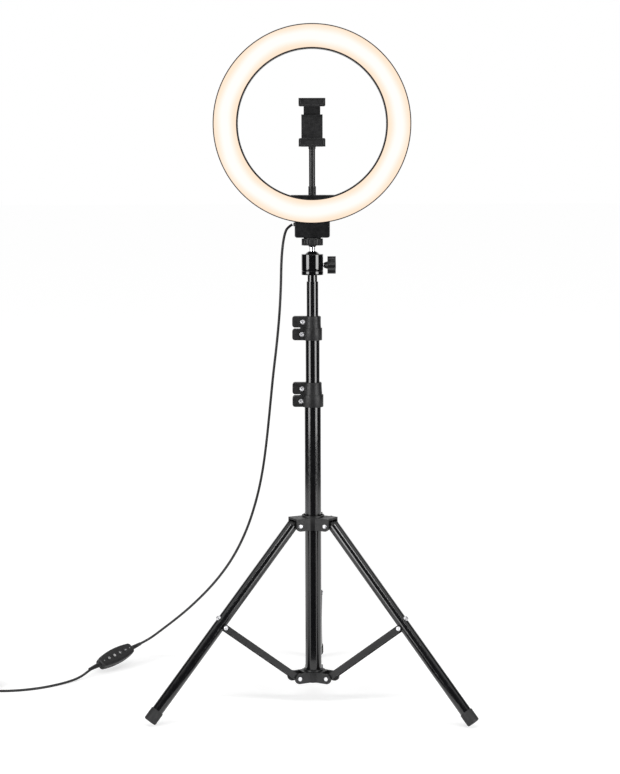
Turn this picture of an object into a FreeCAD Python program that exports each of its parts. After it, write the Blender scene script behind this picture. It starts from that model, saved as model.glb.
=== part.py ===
import FreeCAD, Part
import math
import os
from types import SimpleNamespace

import Sketcher
from FreeCAD import Placement, Rotation, Vector

# A ring light on a three-legged stand, with a phone clamp and a lead that has a controller on it.
# Millimetres. +X is the viewer's right, +Y points away from the viewer, +Z is up. The floor is z = 0
# and the column's axis is x = y = 0.

DIMENSIONS = {
    # The lamp: a flat trough turned about a level axis, with a lit cover
    "ring_height": 779.0,
    "ring_radius": 130.0,
    "ring_opening_radius": 97.5,
    "ring_half_depth": 11.0,
    "ring_outer_wall": 1.2,
    "ring_inner_wall": 1.9,
    "ring_back_wall": 1.6,
    "ring_edge": 3.0,
    "diffuser_gap": 0.2,
    "diffuser_thickness": 1.5,
    "diffuser_rise": 1.6,
    "board_inner_radius": 103.0,
    "board_outer_radius": 125.0,
    "board_thickness": 1.6,
    "boss_circle_radius": 114.0,
    "boss_radius": 3.2,
    "ring_screw_radius": 1.4,
    "ring_screw_count": 6,
    # The block under the lamp
    "block_width": 46.4,
    "block_bottom": 630.2,
    "block_corner": 3.2,
    "bracket_thickness": 5.7,
    "shelf_height": 686.0,
    "shelf_front": 6.0,
    "insert_radius": 4.6,
    "insert_length": 12.0,
    "gland_height": 647.0,
    "gland_radius": 2.5,
    # The ball head
    "stud_radius": 3.175,
    "thread_clearance": 0.06,
    "stem_radius": 3.7,
    "stem_top": 617.2,
    "wheel_radius": 14.6,
    "wheel_bottom": 620.0,
    "wheel_thickness": 8.6,
    "ball_radius": 12.0,
    "ball_height": 601.0,
    "housing_radius": 14.5,
    "housing_bottom": 581.0,
    "housing_length": 26.5,
    "knob_height": 593.6,
    "spigot_radius": 6.45,
    # The telescopic column
    "lower_tube_radius": 10.95,
    "lower_tube_bottom": 32.5,
    "lower_tube_top": 421.0,
    "middle_tube_radius": 9.35,
    "middle_tube_bottom": 110.0,
    "middle_tube_top": 510.0,
    "upper_tube_radius": 7.75,
    "upper_tube_bottom": 190.0,
    "upper_tube_top": 572.0,
    "lower_tube_wall": 1.0,
    "middle_tube_wall": 0.9,
    "upper_tube_wall": 0.8,
    "sliding_clearance": 0.06,
    "collar_half_thickness": 6.0,
    "ear_reach": 27.0,
    "ear_gap": 2.0,
    "collar_slit": 1.5,
    "bolt_radius": 2.0,
    "bolt_head_radius": 3.3,
    # The three legs and their struts
    "hub_bottom": 239.4,
    "hub_top": 256.5,
    "hub_core_radius": 16.0,
    "hub_bore_radius": 13.0,
    "clevis_half_gap": 9.6,
    "clevis_wall": 2.5,
    "hub_pivot_radius": 25.2,
    "hub_pivot_height": 246.3,
    "strut_hub_bottom": 31.0,
    "strut_hub_top": 44.5,
    "strut_pivot_radius": 27.0,
    "strut_pivot_height": 38.0,
    "leg_tilt": 41.4,
    "leg_length": 323.5,
    "leg_tube_radius": 7.75,
    "leg_tube_wall": 0.8,
    "leg_pivot_offset": 5.2,
    "strut_station": 167.5,
    "strut_half_width": 9.35,
    "strut_half_depth": 4.15,
    "strut_wall": 1.2,
    "boot_radius": 8.75,
    "boot_length": 17.3,
    "rivet_radius": 2.0,
    "leg_rivet_radius": 1.5,
    "rivet_head_radius": 3.3,
    "pin_clearance": 0.05,
    "first_azimuth": 90.0,
    "stand_turn": -1.5,
    # The phone holder
    "rod_radius": 4.1,
    "rod_top": 749.5,
    "grip_radius": 5.1,
    "grip_top": 697.5,
    "jaw_half_width": 17.5,
    "jaw_bottom": 749.5,
    "jaw_lip": 11.0,
    "jaw_reach": 16.0,
    "jaw_opening": 57.0,
    "jaw_wall": 3.0,
    # The lead
    "lead_diameter": 3.5,
    "coil_radius": 20.0,
    "coil_bundle_radius": 5.8,
    "control_length": 67.0,
    "control_width": 22.0,
    "control_thickness": 12.0,
    "button_radius": 3.2,
    "button_pitch": 11.6,
    "button_travel": 0.8,
}

doc = FreeCAD.newDocument("ring_light")
sheet = doc.addObject("Spreadsheet::Sheet", "Sheet")
for row, (alias, number) in enumerate(DIMENSIONS.items(), 1):
    sheet.set(f"A{row}", alias)
    sheet.set(f"B{row}", str(number))
    sheet.setAlias(f"B{row}", alias)
doc.recompute()


class Size:
    """A length that remembers the sheet formula it came from."""

    def __init__(self, value, formula):
        self.value = value
        self.formula = formula

    def __add__(self, other):
        other = size(other)
        return Size(self.value + other.value, f"({self.formula} + {other.formula})")

    def __sub__(self, other):
        other = size(other)
        return Size(self.value - other.value, f"({self.formula} - {other.formula})")

    def __rsub__(self, other):
        return size(other) - self

    def __mul__(self, other):
        other = size(other)
        return Size(self.value * other.value, f"({self.formula} * {other.formula})")

    __radd__ = __add__
    __rmul__ = __mul__


def size(number):
    """A plain number as a Size; a Size stays as it is."""
    if isinstance(number, Size):
        return number
    return Size(float(number), f"({float(number)})")


dim = SimpleNamespace(
    **{alias: Size(getattr(sheet, alias), f"Sheet.{alias}") for alias in DIMENSIONS}
)
X, Y, Z = Vector(1, 0, 0), Vector(0, 1, 0), Vector(0, 0, 1)
SUBPARTS = {}


# ---- document objects bound to the sheet ----


def keep(label, item):
    """Names a finished object as a sub-part of the light."""
    item.Label = label
    SUBPARTS[label] = item
    return item


def bind(item, **sizes):
    """Binds properties of an object to sheet formulas."""
    for name, length in sizes.items():
        item.setExpression(name, size(length).formula)
    return item


def lift(item, height):
    """Binds how high an object stands."""
    item.setExpression("Placement.Base.z", size(height).formula)
    return item


def new_body(label):
    return doc.addObject("PartDesign::Body", label)


def sketch_on(body, role, height=0.0):
    """An empty sketch on one of the body's own origin planes."""
    sketch = body.newObject("Sketcher::SketchObject", body.Name + "_sketch")
    plane = next(item for item in body.Origin.OriginFeatures if item.Role == role)
    sketch.AttachmentSupport = [(plane, "")]
    sketch.MapMode = "FlatFace"
    sketch.AttachmentOffset = Placement(Vector(0, 0, size(height).value), Rotation())
    return sketch


def fix_coordinate(sketch, kind, line, length):
    """Holds the start of a line at a distance from the origin, bound to the sheet."""
    length = size(length)
    if abs(length.value) < 1e-9:
        axis = -2 if kind == "DistanceX" else -1
        sketch.addConstraint(Sketcher.Constraint("PointOnObject", line, 1, axis))
        return
    number = sketch.addConstraint(
        Sketcher.Constraint(kind, -1, 1, line, 1, length.value)
    )
    sketch.setExpression(f"Constraints[{number}]", length.formula)


def draw_outline(sketch, corners):
    """A closed outline of straight lines whose corners are bound to the sheet."""
    points = [Vector(size(u).value, size(v).value, 0) for u, v in corners]
    count = len(points)
    lines = [
        sketch.addGeometry(Part.LineSegment(points[i], points[(i + 1) % count]), False)
        for i in range(count)
    ]
    for i, line in enumerate(lines):
        following = lines[(i + 1) % count]
        sketch.addConstraint(Sketcher.Constraint("Coincident", line, 2, following, 1))
    for line, (u, v) in zip(lines, corners):
        fix_coordinate(sketch, "DistanceX", line, u)
        fix_coordinate(sketch, "DistanceY", line, v)


def draw_circle(sketch, radius, x=0.0, y=0.0):
    """A circle whose radius and centre are bound to the sheet."""
    centre = Vector(size(x).value, size(y).value, 0)
    circle = sketch.addGeometry(Part.Circle(centre, Z, size(radius).value), False)
    number = sketch.addConstraint(
        Sketcher.Constraint("Radius", circle, size(radius).value)
    )
    sketch.setExpression(f"Constraints[{number}]", size(radius).formula)
    for kind, length, axis in (("DistanceX", x, -2), ("DistanceY", y, -1)):
        if abs(size(length).value) < 1e-9:
            constraint = Sketcher.Constraint("PointOnObject", circle, 3, axis)
            sketch.addConstraint(constraint)
        else:
            constraint = Sketcher.Constraint(
                kind, -1, 1, circle, 3, size(length).value
            )
            number = sketch.addConstraint(constraint)
            sketch.setExpression(f"Constraints[{number}]", size(length).formula)


def turned(label, profile):
    """A body turned about its own Z axis from (radius, height) corners."""
    body = new_body(label)
    sketch = sketch_on(body, "XZ_Plane")
    draw_outline(sketch, profile)
    turn = body.newObject("PartDesign::Revolution", body.Name + "_turn")
    turn.Profile = sketch
    turn.ReferenceAxis = (sketch, ["V_Axis"])
    turn.Angle = 360.0
    return body


def tube(label, radius, bore, length):
    """A straight pipe along its own Z axis."""
    body = new_body(label)
    sketch = sketch_on(body, "XY_Plane")
    draw_circle(sketch, radius)
    draw_circle(sketch, bore)
    pad = body.newObject("PartDesign::Pad", body.Name + "_pad")
    pad.Profile = sketch
    bind(pad, Length=length)
    return body


def add_round_pad(body, radius, length, height=0.0, x=0.0, y=0.0, cut=False):
    """A round pad, or a round pocket that cuts upwards, on a body's own XY plane."""
    sketch = sketch_on(body, "XY_Plane", height)
    draw_circle(sketch, radius, x, y)
    kind = "PartDesign::Pocket" if cut else "PartDesign::Pad"
    feature = body.newObject(kind, body.Name + ("_pocket" if cut else "_boss"))
    feature.Profile = sketch
    if cut:
        feature.Reversed = True
    bind(feature, Length=length)
    return feature


def repeat_around(body, feature, count):
    """Repeats a feature evenly about the body's own Z axis."""
    pattern = body.newObject("PartDesign::PolarPattern", body.Name + "_pattern")
    pattern.Originals = [feature]
    axis = next(item for item in body.Origin.OriginFeatures if item.Role == "Z_Axis")
    pattern.Axis = (axis, [""])
    pattern.Angle = 360.0
    bind(pattern, Occurrences=count)
    body.Tip = pattern
    return pattern


def cylinder(radius, length, at=Vector(), axis=Z):
    """A round bar from a point along an axis."""
    bar = doc.addObject("Part::Cylinder", "bar")
    bind(bar, Radius=radius, Height=length)
    bar.Placement = Placement(at, Rotation(Z, axis))
    return bar


def block(length, width, height, at=Vector()):
    """A box from its lowest corner."""
    brick = doc.addObject("Part::Box", "block")
    bind(brick, Length=length, Width=width, Height=height)
    brick.Placement = Placement(at, Rotation())
    return brick


def ball(radius, at):
    sphere = doc.addObject("Part::Sphere", "sphere")
    bind(sphere, Radius=radius)
    sphere.Placement = Placement(at, Rotation())
    return sphere


def cone(radius_1, radius_2, length, at=Vector(), axis=Z):
    """A tapered round bar from a point along an axis."""
    taper = doc.addObject("Part::Cone", "taper")
    bind(taper, Radius1=radius_1, Radius2=radius_2, Height=length)
    taper.Placement = Placement(at, Rotation(Z, axis))
    return taper


def fuse(*shapes):
    joined = doc.addObject("Part::MultiFuse", "joined")
    joined.Shapes = list(shapes)
    joined.Refine = True
    return joined


def cut(base, *tools):
    remainder = doc.addObject("Part::Cut", "remainder")
    remainder.Base = base
    remainder.Tool = tools[0] if len(tools) == 1 else fuse(*tools)
    remainder.Refine = True
    return remainder


def common(first, second):
    overlap = doc.addObject("Part::Common", "overlap")
    overlap.Base = first
    overlap.Tool = second
    overlap.Refine = True
    return overlap


def round_edges(base, radius, wanted):
    """Rounds the edges of a Part object that pass a test."""
    doc.recompute()
    chosen = [
        number
        for number, edge in enumerate(base.Shape.Edges, 1)
        if edge.Length > 1e-6 and wanted(edge)
    ]
    fillet = doc.addObject("Part::Fillet", "rounded")
    fillet.Base = base
    length = size(radius).value
    fillet.Edges = [(number, length, length) for number in chosen]
    return fillet


def runs_along(axis):
    """A test for straight edges along an axis."""

    def test(edge):
        if not isinstance(edge.Curve, Part.Line):
            return False
        return abs(abs(edge.Curve.Direction.dot(axis)) - 1) < 1e-6

    return test


def group(*shapes):
    """Several separate solids in one object."""
    together = doc.addObject("Part::Compound", "group")
    together.Links = list(shapes)
    return together


def moved(item, placement):
    """Puts a finished object somewhere else, as a whole."""
    item.Placement = placement.multiply(item.Placement)
    return item


def around(azimuth):
    return Rotation(Z, azimuth)


# ---- the lamp ----

# The lamp's own frame: local Z is towards the viewer and local Y is up.
FACING = Rotation(X, 90)


def face_viewer(body):
    body.Placement = Placement(Vector(0, 0, dim.ring_height.value), FACING)
    return lift(body, dim.ring_height)


def ring_shell():
    """The trough, open at the front, with a boss for each board screw."""
    outer, inner = dim.ring_radius, dim.ring_opening_radius
    back, depth = dim.ring_edge, 2 * dim.ring_half_depth
    floor = dim.ring_back_wall
    body = turned(
        "ring_shell",
        [
            (inner, depth),
            (inner, back),
            (inner + back, 0),
            (outer - back, 0),
            (outer, back),
            (outer, depth),
            (outer - dim.ring_outer_wall, depth),
            (outer - dim.ring_outer_wall, back),
            (outer - back, floor),
            (inner + back, floor),
            (inner + dim.ring_inner_wall, back),
            (inner + dim.ring_inner_wall, depth),
        ],
    )
    at = dim.boss_circle_radius
    boss_length = dim.ring_half_depth - dim.ring_back_wall + 0.5
    boss = add_round_pad(body, dim.boss_radius, boss_length, floor - 0.5, x=at)
    repeat_around(body, boss, dim.ring_screw_count)
    doc.recompute()
    hole_radius = dim.ring_screw_radius + 0.02
    hole = add_round_pad(body, hole_radius, 9.0, dim.ring_half_depth - 8.5, x=at, cut=True)
    repeat_around(body, hole, dim.ring_screw_count)
    face_viewer(body)
    body.Placement.Base = body.Placement.Base + Vector(0, dim.ring_half_depth.value, 0)
    return keep("ring_shell", body)


def ring_diffuser():
    """The milky cover, slightly domed between the two rims."""
    inner = dim.ring_opening_radius + dim.ring_inner_wall + dim.diffuser_gap
    outer = dim.ring_radius - dim.ring_outer_wall - dim.diffuser_gap
    middle = (inner + outer) * 0.5
    shoulder = (outer - inner) * 0.3
    edge = dim.ring_half_depth - 1.2
    rise, skin = dim.diffuser_rise, dim.diffuser_thickness
    body = turned(
        "ring_diffuser",
        [
            (inner, edge - skin),
            (inner, edge),
            (middle - shoulder, edge + rise * 0.8),
            (middle, edge + rise),
            (middle + shoulder, edge + rise * 0.8),
            (outer, edge),
            (outer, edge - skin),
            (middle + shoulder, edge + rise * 0.8 - skin),
            (middle, edge + rise - skin),
            (middle - shoulder, edge + rise * 0.8 - skin),
        ],
    )
    return keep("ring_diffuser", face_viewer(body))


def led_board():
    """The ring-shaped board that the lamps are soldered to."""
    body = tube(
        "led_board",
        dim.board_outer_radius,
        dim.board_inner_radius,
        dim.board_thickness,
    )
    hole_radius = dim.ring_screw_radius + 0.2
    hole = add_round_pad(body, hole_radius, 5.0, -1.0, x=dim.boss_circle_radius, cut=True)
    repeat_around(body, hole, dim.ring_screw_count)
    return keep("led_board", face_viewer(body))


def ring_screws():
    """The screws that hold the board down on the bosses."""
    screws = []
    for turn in range(int(dim.ring_screw_count.value)):
        angle = math.radians(360.0 / dim.ring_screw_count.value * turn)
        x = dim.boss_circle_radius.value * math.cos(angle)
        z = dim.boss_circle_radius.value * math.sin(angle)
        foot = Vector(x, 7.4, dim.ring_height.value + z)
        face = Vector(x, -dim.board_thickness.value, dim.ring_height.value + z)
        shank = cylinder(dim.ring_screw_radius, 7.4 + dim.board_thickness, foot, -Y)
        head = cylinder(2.8, 1.8, face, -Y)
        screws.append(fuse(shank, head))
    return keep("ring_screws", group(*screws))


# ---- the block under the lamp ----


def base_block():
    """The block below the lamp, its bracket up the back and the shelf inside the opening."""
    half = dim.block_width.value / 2
    front = -dim.ring_half_depth.value
    bottom = dim.block_bottom.value
    back_plane = dim.ring_half_depth.value + 0.3
    depth = dim.ring_half_depth * 2 + 0.3 + dim.bracket_thickness
    lower = block(dim.block_width, depth, 24.0, Vector(-half, front, bottom))
    lower = round_edges(
        lower,
        dim.block_corner,
        lambda edge: runs_along(Y)(edge) and edge.BoundBox.ZMax < bottom + 1,
    )
    lower = round_edges(lower, 1.2, lambda edge: edge.BoundBox.YMax < front + 1e-3)
    ring_room = cylinder(
        dim.ring_radius + 0.2,
        dim.ring_half_depth * 2 + 0.3,
        Vector(0, front - 0.05, dim.ring_height.value),
        Y,
    )
    lower = cut(lower, ring_room)
    bracket = block(
        dim.block_width,
        dim.bracket_thickness,
        dim.shelf_height - dim.block_bottom - 14.0,
        Vector(-half, back_plane, bottom + 14.0),
    )
    plank = block(
        80.0,
        dim.shelf_front + dim.ring_half_depth + 0.3 + dim.bracket_thickness,
        20.0,
        Vector(-40, -dim.shelf_front.value, dim.shelf_height.value - 20.0),
    )
    opening = cylinder(
        dim.ring_opening_radius - 0.2,
        60.0,
        Vector(0, -30, dim.ring_height.value),
        Y,
    )
    shelf = common(plank, opening)
    gland_at = Vector(-half - 1, back_plane + dim.bracket_thickness.value / 2,
                      dim.gland_height.value)
    return keep(
        "base_block",
        cut(
            fuse(lower, bracket, shelf),
            cylinder(dim.insert_radius, dim.insert_length, Vector(0, 0, bottom)),
            cylinder(2.6, 9.0, Vector(0, 0, dim.shelf_height.value - 4.0)),
            cylinder(dim.gland_radius, 5.0, gland_at, X),
        ),
    )


def thread_insert():
    """The brass nut that the ball head's stud screws into."""
    body = tube(
        "thread_insert",
        dim.insert_radius,
        dim.stud_radius + dim.thread_clearance,
        dim.insert_length,
    )
    return keep("thread_insert", lift(body, dim.block_bottom))


def cable_gland():
    """The short collar where the lead leaves the block on its left."""
    half = dim.block_width.value / 2
    y = dim.ring_half_depth.value + 0.3 + dim.bracket_thickness.value / 2
    face = Vector(-half, y, dim.gland_height.value)
    stub = cylinder(dim.gland_radius - 0.02, 3.6, face + Vector(3.5, 0, 0), -X)
    flange = cone(2.8, 2.3, 1.9, face, -X)
    return keep("cable_gland", fuse(stub, flange))


# ---- the ball head ----


def stem_stud():
    """The plated stem that carries the lamp, with a quarter-inch stud on top."""
    foot = dim.ball_height + 5.0
    body = turned(
        "stem_stud",
        [
            (0, 0),
            (dim.stem_radius, 0),
            (dim.stem_radius, dim.stem_top - foot),
            (dim.stud_radius, dim.stem_top - foot),
            (dim.stud_radius, dim.block_bottom - foot + 9.4),
            (dim.stud_radius - 0.6, dim.block_bottom - foot + 10.0),
            (0, dim.block_bottom - foot + 10.0),
        ],
    )
    return keep("stem_stud", lift(body, foot))


def head_ball():
    """The ball, with a flat top and a socket for the stem."""
    centre = Vector(0, 0, dim.ball_height.value)
    whole = ball(dim.ball_radius, centre)
    above = block(30, 30, 10, centre + Vector(-15, -15, dim.ball_radius.value - 0.8))
    socket = cylinder(dim.stem_radius + 0.01, 10.0, centre + Vector(0, 0, 5))
    return keep("head_ball", cut(whole, above, socket))


def ball_cup():
    """The nylon seat that the ball is squeezed on."""
    foot = dim.ball_height - 14.5
    blank = cylinder(11.0, 8.0, Vector(0, 0, foot.value))
    hollow = ball(dim.ball_radius + 0.05, Vector(0, 0, dim.ball_height.value))
    return keep("ball_cup", cut(blank, hollow))


def ball_head_housing():
    """The round housing, with a rolled-in lip that keeps the ball in."""
    radius, length = dim.housing_radius, dim.housing_length
    groove = size(5.2)
    outside = turned(
        "housing_blank",
        [
            (0, 0),
            (radius, 0),
            (radius, groove - 0.5),
            (radius - 0.6, groove),
            (radius, groove + 0.5),
            (radius, length + 0.3),
            (radius - 0.7, length + 1.0),
            (0, length + 1.0),
        ],
    )
    lift(outside, dim.housing_bottom)
    centre = Vector(0, 0, dim.ball_height.value)
    seat_floor = dim.ball_height.value - 14.8
    return keep(
        "ball_head_housing",
        cut(
            outside,
            ball(dim.ball_radius + 0.35, centre),
            cylinder(11.3, 14.8, Vector(0, 0, seat_floor)),
            cylinder(dim.stud_radius + 0.02, 20.0, Vector(0, 0, dim.housing_bottom.value - 1)),
            cylinder(2.3, 8.0, Vector(9, 0, dim.knob_height.value), X),
        ),
    )


def ball_lock_screw():
    """The steel screw that squeezes the seat."""
    at = Vector(11.4, 0, dim.knob_height.value)
    return keep("ball_lock_screw", cylinder(2.2, 12.0, at, X))


def ball_lock_knob():
    """A three-lobed knob on the right of the ball head."""
    z = dim.knob_height.value
    hub = cone(3.4, 5.2, 5.0, Vector(15.2, 0, z), X)
    core = cylinder(7.0, 11.0, Vector(20.0, 0, z), X)
    lobes = []
    for turn in range(3):
        angle = math.radians(180 + 120 * turn)
        at = Vector(20.0, 8.0 * math.cos(angle), z + 8.0 * math.sin(angle))
        lobes.append(cylinder(4.65, 11.0, at, X))
    socket = cylinder(2.22, 9.0, Vector(14.8, 0, z), X)
    return keep("ball_lock_knob", cut(fuse(hub, core, *lobes), socket))


def lock_wheel():
    """The lobed wheel that locks the lamp on its stud."""
    radius, thick = dim.wheel_radius, dim.wheel_thickness
    bottom = dim.wheel_bottom.value
    disc = cylinder(radius, thick, Vector(0, 0, bottom))
    neck = cylinder(11.6, 1.2, Vector(0, 0, bottom + thick.value))
    hub = cone(3.8, 6.2, 2.4, Vector(0, 0, bottom - 2.4))
    bites = []
    for turn in range(6):
        angle = math.radians(60 * turn)
        reach = radius.value + 2.6
        at = Vector(reach * math.cos(angle), reach * math.sin(angle), bottom - 1)
        bites.append(cylinder(4.6, thick + 1.0, at))
    bore = cylinder(dim.stud_radius + dim.thread_clearance, 30.0, Vector(0, 0, bottom - 5))
    return keep("lock_wheel", cut(fuse(disc, neck, hub), bore, *bites))


def top_spigot():
    """The plug in the top of the upper tube, with the stud that the ball head screws on."""
    plug = dim.upper_tube_radius - dim.upper_tube_wall - 0.02
    shoulder = dim.housing_bottom - dim.upper_tube_top
    body = turned(
        "top_spigot",
        [
            (0, 0),
            (plug, 0),
            (plug, 16.0),
            (dim.spigot_radius, 16.0),
            (dim.spigot_radius, shoulder + 16.0),
            (dim.stud_radius, shoulder + 16.0),
            (dim.stud_radius, shoulder + 21.0),
            (0, shoulder + 21.0),
        ],
    )
    return keep("top_spigot", lift(body, dim.upper_tube_top - 16.0))


# ---- the column ----


def column_tube(name):
    """One of the three telescopic tubes."""
    radius = getattr(dim, f"{name}_tube_radius")
    wall = getattr(dim, f"{name}_tube_wall")
    bottom = getattr(dim, f"{name}_tube_bottom")
    top = getattr(dim, f"{name}_tube_top")
    body = tube(f"{name}_tube", radius, radius - wall, top - bottom)
    return keep(f"{name}_tube", lift(body, bottom))


def guide_bush(name, outer_tube):
    """The nylon foot of an inner tube, which runs in the tube outside it."""
    bore = getattr(dim, f"{outer_tube}_tube_radius") - getattr(dim, f"{outer_tube}_tube_wall")
    plug = getattr(dim, f"{name}_tube_radius") - getattr(dim, f"{name}_tube_wall") - 0.02
    flange = bore - dim.sliding_clearance
    body = turned(
        f"{name}_tube_bush",
        [
            (plug - 1.6, 0),
            (flange, 0),
            (flange, 4.0),
            (plug, 4.0),
            (plug, 14.0),
            (plug - 1.6, 14.0),
        ],
    )
    return keep(f"{name}_tube_bush", lift(body, getattr(dim, f"{name}_tube_bottom") - 4.0))


# Each clamp collar: where its ears split, its bolts, and the tubes it joins.
COLLARS = {
    "upper": SimpleNamespace(
        bottom=494.2, split=510.2, top=526.0, low_radius=12.7, high_radius=11.4,
        low_bolt=Vector(-14.1, 0, 502.0), high_bolt=Vector(-13.0, 0, 518.4),
        low_tube=dim.middle_tube_radius, high_tube=dim.upper_tube_radius,
    ),
    "lower": SimpleNamespace(
        bottom=405.0, split=421.0, top=437.6, low_radius=14.3, high_radius=12.8,
        low_bolt=Vector(-15.6, 0, 412.4), high_bolt=Vector(-14.2, 0, 429.2),
        low_tube=dim.lower_tube_radius, high_tube=dim.middle_tube_radius,
    ),
}
CAM_BACKSET = 4.2


def clamp_ear(bottom, top):
    """One of the two flat ears on the left of a collar, with its outer corners rounded."""
    half = dim.collar_half_thickness
    ear = block(dim.ear_reach - 6.0, half * 2, top - bottom,
                Vector(-dim.ear_reach.value, -half.value, bottom))
    ear = round_edges(
        ear, 3.6,
        lambda edge: runs_along(Y)(edge) and edge.BoundBox.XMax < 1 - dim.ear_reach.value,
    )
    return round_edges(ear, 0.8, lambda edge: abs(edge.BoundBox.YLength) < 1e-6)


def clamp_collar(name):
    """A plastic collar: its lower half grips the outer tube, its upper half the inner one."""
    plan = COLLARS[name]
    half = dim.collar_half_thickness.value
    gap = dim.ear_gap.value / 2
    low = cylinder(plan.low_radius, plan.split - plan.bottom, Vector(0, 0, plan.bottom))
    high = cone(plan.high_radius, plan.high_radius - 1.2, plan.top - plan.split,
                Vector(0, 0, plan.split))
    ears = [
        clamp_ear(plan.bottom, plan.split - gap),
        clamp_ear(plan.split + gap, plan.top),
    ]
    web = block(9.0, 2 * half, 3.0, Vector(-16.5, -half, plan.split - 1.5))
    slit = block(dim.ear_reach + 1.0, dim.collar_slit, plan.top - plan.bottom + 2.0,
                 Vector(-dim.ear_reach.value - 1, -dim.collar_slit.value / 2, plan.bottom - 1))
    tools = [
        slit,
        cylinder(plan.low_tube + 0.02, plan.split - plan.bottom + 1,
                 Vector(0, 0, plan.bottom - 1)),
        cylinder(plan.high_tube + dim.sliding_clearance, plan.top - plan.split + 2,
                 Vector(0, 0, plan.split - 1)),
    ]
    for bolt in (plan.low_bolt, plan.high_bolt):
        front = bolt + Vector(0, -half - 1, 0)
        tools.append(cylinder(dim.bolt_radius + 0.1, 2 * half + 2.0, front, Y))
        tools.append(cylinder(dim.bolt_head_radius + 0.7, 3.8, front, Y))
    tools.append(cylinder(4.0, 4.2, plan.low_bolt + Vector(0, half + 1, 0), -Y))
    return keep(f"{name}_collar", cut(fuse(low, high, web, *ears), *tools))


def socket_bolt(at, length):
    """A socket-head bolt whose head is sunk in the front of an ear."""
    half = dim.collar_half_thickness.value
    face = at + Vector(0, -half + 0.2, 0)
    head = cylinder(dim.bolt_head_radius, 2.6, face, Y)
    shank = cylinder(dim.bolt_radius, length, face + Vector(0, 2.6, 0), Y)
    socket = cylinder(1.5, 1.6, face + Vector(0, -0.1, 0), Y)
    return cut(fuse(head, shank), socket)


def collar_bolts(name):
    plan = COLLARS[name]
    half = dim.collar_half_thickness
    low = socket_bolt(plan.low_bolt, half * 2 - 3.0)
    high = socket_bolt(plan.high_bolt, half * 2 + CAM_BACKSET - 2.8)
    return keep(f"{name}_collar_bolts", group(low, high))


def collar_nuts(name):
    """The plain nut behind the lower ear and the barrel nut that the cam lever turns on."""
    plan = COLLARS[name]
    half = dim.collar_half_thickness.value
    nut = cylinder(3.8, 3.0, plan.low_bolt + Vector(0, half - 3.0, 0), Y)
    nut = cut(nut, cylinder(dim.bolt_radius + 0.02, 5.0, plan.low_bolt + Vector(0, half - 4, 0), Y))
    pin_at = plan.high_bolt + Vector(0, half + CAM_BACKSET, -6.4)
    barrel = cylinder(2.7, 12.8, pin_at)
    hole = cylinder(dim.bolt_radius + 0.02, 8.0, plan.high_bolt + Vector(0, half, 0), Y)
    return keep(f"{name}_collar_nuts", group(nut, cut(barrel, hole)))


def cam_lever(name):
    """The quick-release lever, lying closed round the back of its collar."""
    plan = COLLARS[name]
    half = dim.collar_half_thickness.value
    pin = plan.high_bolt + Vector(0, half + CAM_BACKSET, 0)
    foot, height = pin.z - 6.2, 12.4
    cam = cylinder(CAM_BACKSET - 0.3, height, Vector(pin.x, pin.y, foot))
    inner, outer = plan.high_radius + 0.6, plan.high_radius + 3.6
    sweep = doc.addObject("Part::Cylinder", "lever_arm")
    bind(sweep, Radius=outer, Height=height)
    sweep.Angle = 92.0
    sweep.Placement = Placement(Vector(0, 0, foot), around(50))
    hollow = cylinder(inner, height + 2, Vector(0, 0, foot - 1))
    bolt_room = cylinder(5.4, 4.8, Vector(pin.x, pin.y, pin.z - 2.4))
    eye = cylinder(2.7 + dim.pin_clearance, height + 2, Vector(pin.x, pin.y, foot - 1))
    arm = cut(sweep, hollow)
    tip = cylinder(2.1, height, Vector(outer - 1.5, 0, foot))
    moved(tip, Placement(Vector(), around(48)))
    return keep(f"{name}_cam_lever", cut(fuse(arm, cam, tip), bolt_room, eye))


# ---- the stand ----

LEGS = {"rear": 0, "left": 1, "right": 2}


def azimuth(name):
    """Which way a leg points, in degrees from +X."""
    return dim.first_azimuth.value + dim.stand_turn.value + 120 * LEGS[name]


def radial_frame(name, origin, x_axis, z_axis):
    """A placement in a leg's upright plane: origin and axes are given in (out, 0, up)."""
    y_axis = z_axis.cross(x_axis)
    turn = around(azimuth(name))
    return Placement(turn.multVec(origin), turn.multiply(Rotation(x_axis, y_axis, z_axis, "ZXY")))


TILT = math.radians(dim.leg_tilt.value)
LEG_DOWN = Vector(math.sin(TILT), 0, -math.cos(TILT))
LEG_OUT = Vector(math.cos(TILT), 0, math.sin(TILT))
HUB_PIVOT = Vector(dim.hub_pivot_radius.value, 0, dim.hub_pivot_height.value)
LEG_ORIGIN = HUB_PIVOT + LEG_OUT * dim.leg_pivot_offset.value
STRUT_LOW = Vector(dim.strut_pivot_radius.value, 0, dim.strut_pivot_height.value)
STRUT_HIGH = HUB_PIVOT + LEG_DOWN * dim.strut_station.value
STRUT_LENGTH = (STRUT_HIGH - STRUT_LOW).Length
STRUT_ALONG = (STRUT_HIGH - STRUT_LOW) * (1 / STRUT_LENGTH)
STRUT_NORMAL = Vector(-STRUT_ALONG.z, 0, STRUT_ALONG.x)


def in_leg_frame(name, item):
    """Local Z runs down the leg from its hub pivot and local X is its outer side."""
    return moved(item, radial_frame(name, LEG_ORIGIN, LEG_OUT, LEG_DOWN))


def in_strut_frame(name, item):
    """Local X runs from the lower pivot to the upper one and local Z is the web's side."""
    return moved(item, radial_frame(name, STRUT_LOW, STRUT_ALONG, STRUT_NORMAL))


def leg_tube(name):
    length = dim.leg_length - 5.0 - 2.4
    pipe = cylinder(dim.leg_tube_radius, length, Vector(0, 0, 5))
    bore = cylinder(dim.leg_tube_radius - dim.leg_tube_wall, length + 2.0, Vector(0, 0, 4))
    rivet_at = Vector(-dim.leg_pivot_offset.value, -20, dim.strut_station.value)
    hole = cylinder(dim.leg_rivet_radius + 0.05, 40.0, rivet_at, Y)
    return keep(f"leg_tube_{name}", in_leg_frame(name, cut(pipe, bore, hole)))


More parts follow.
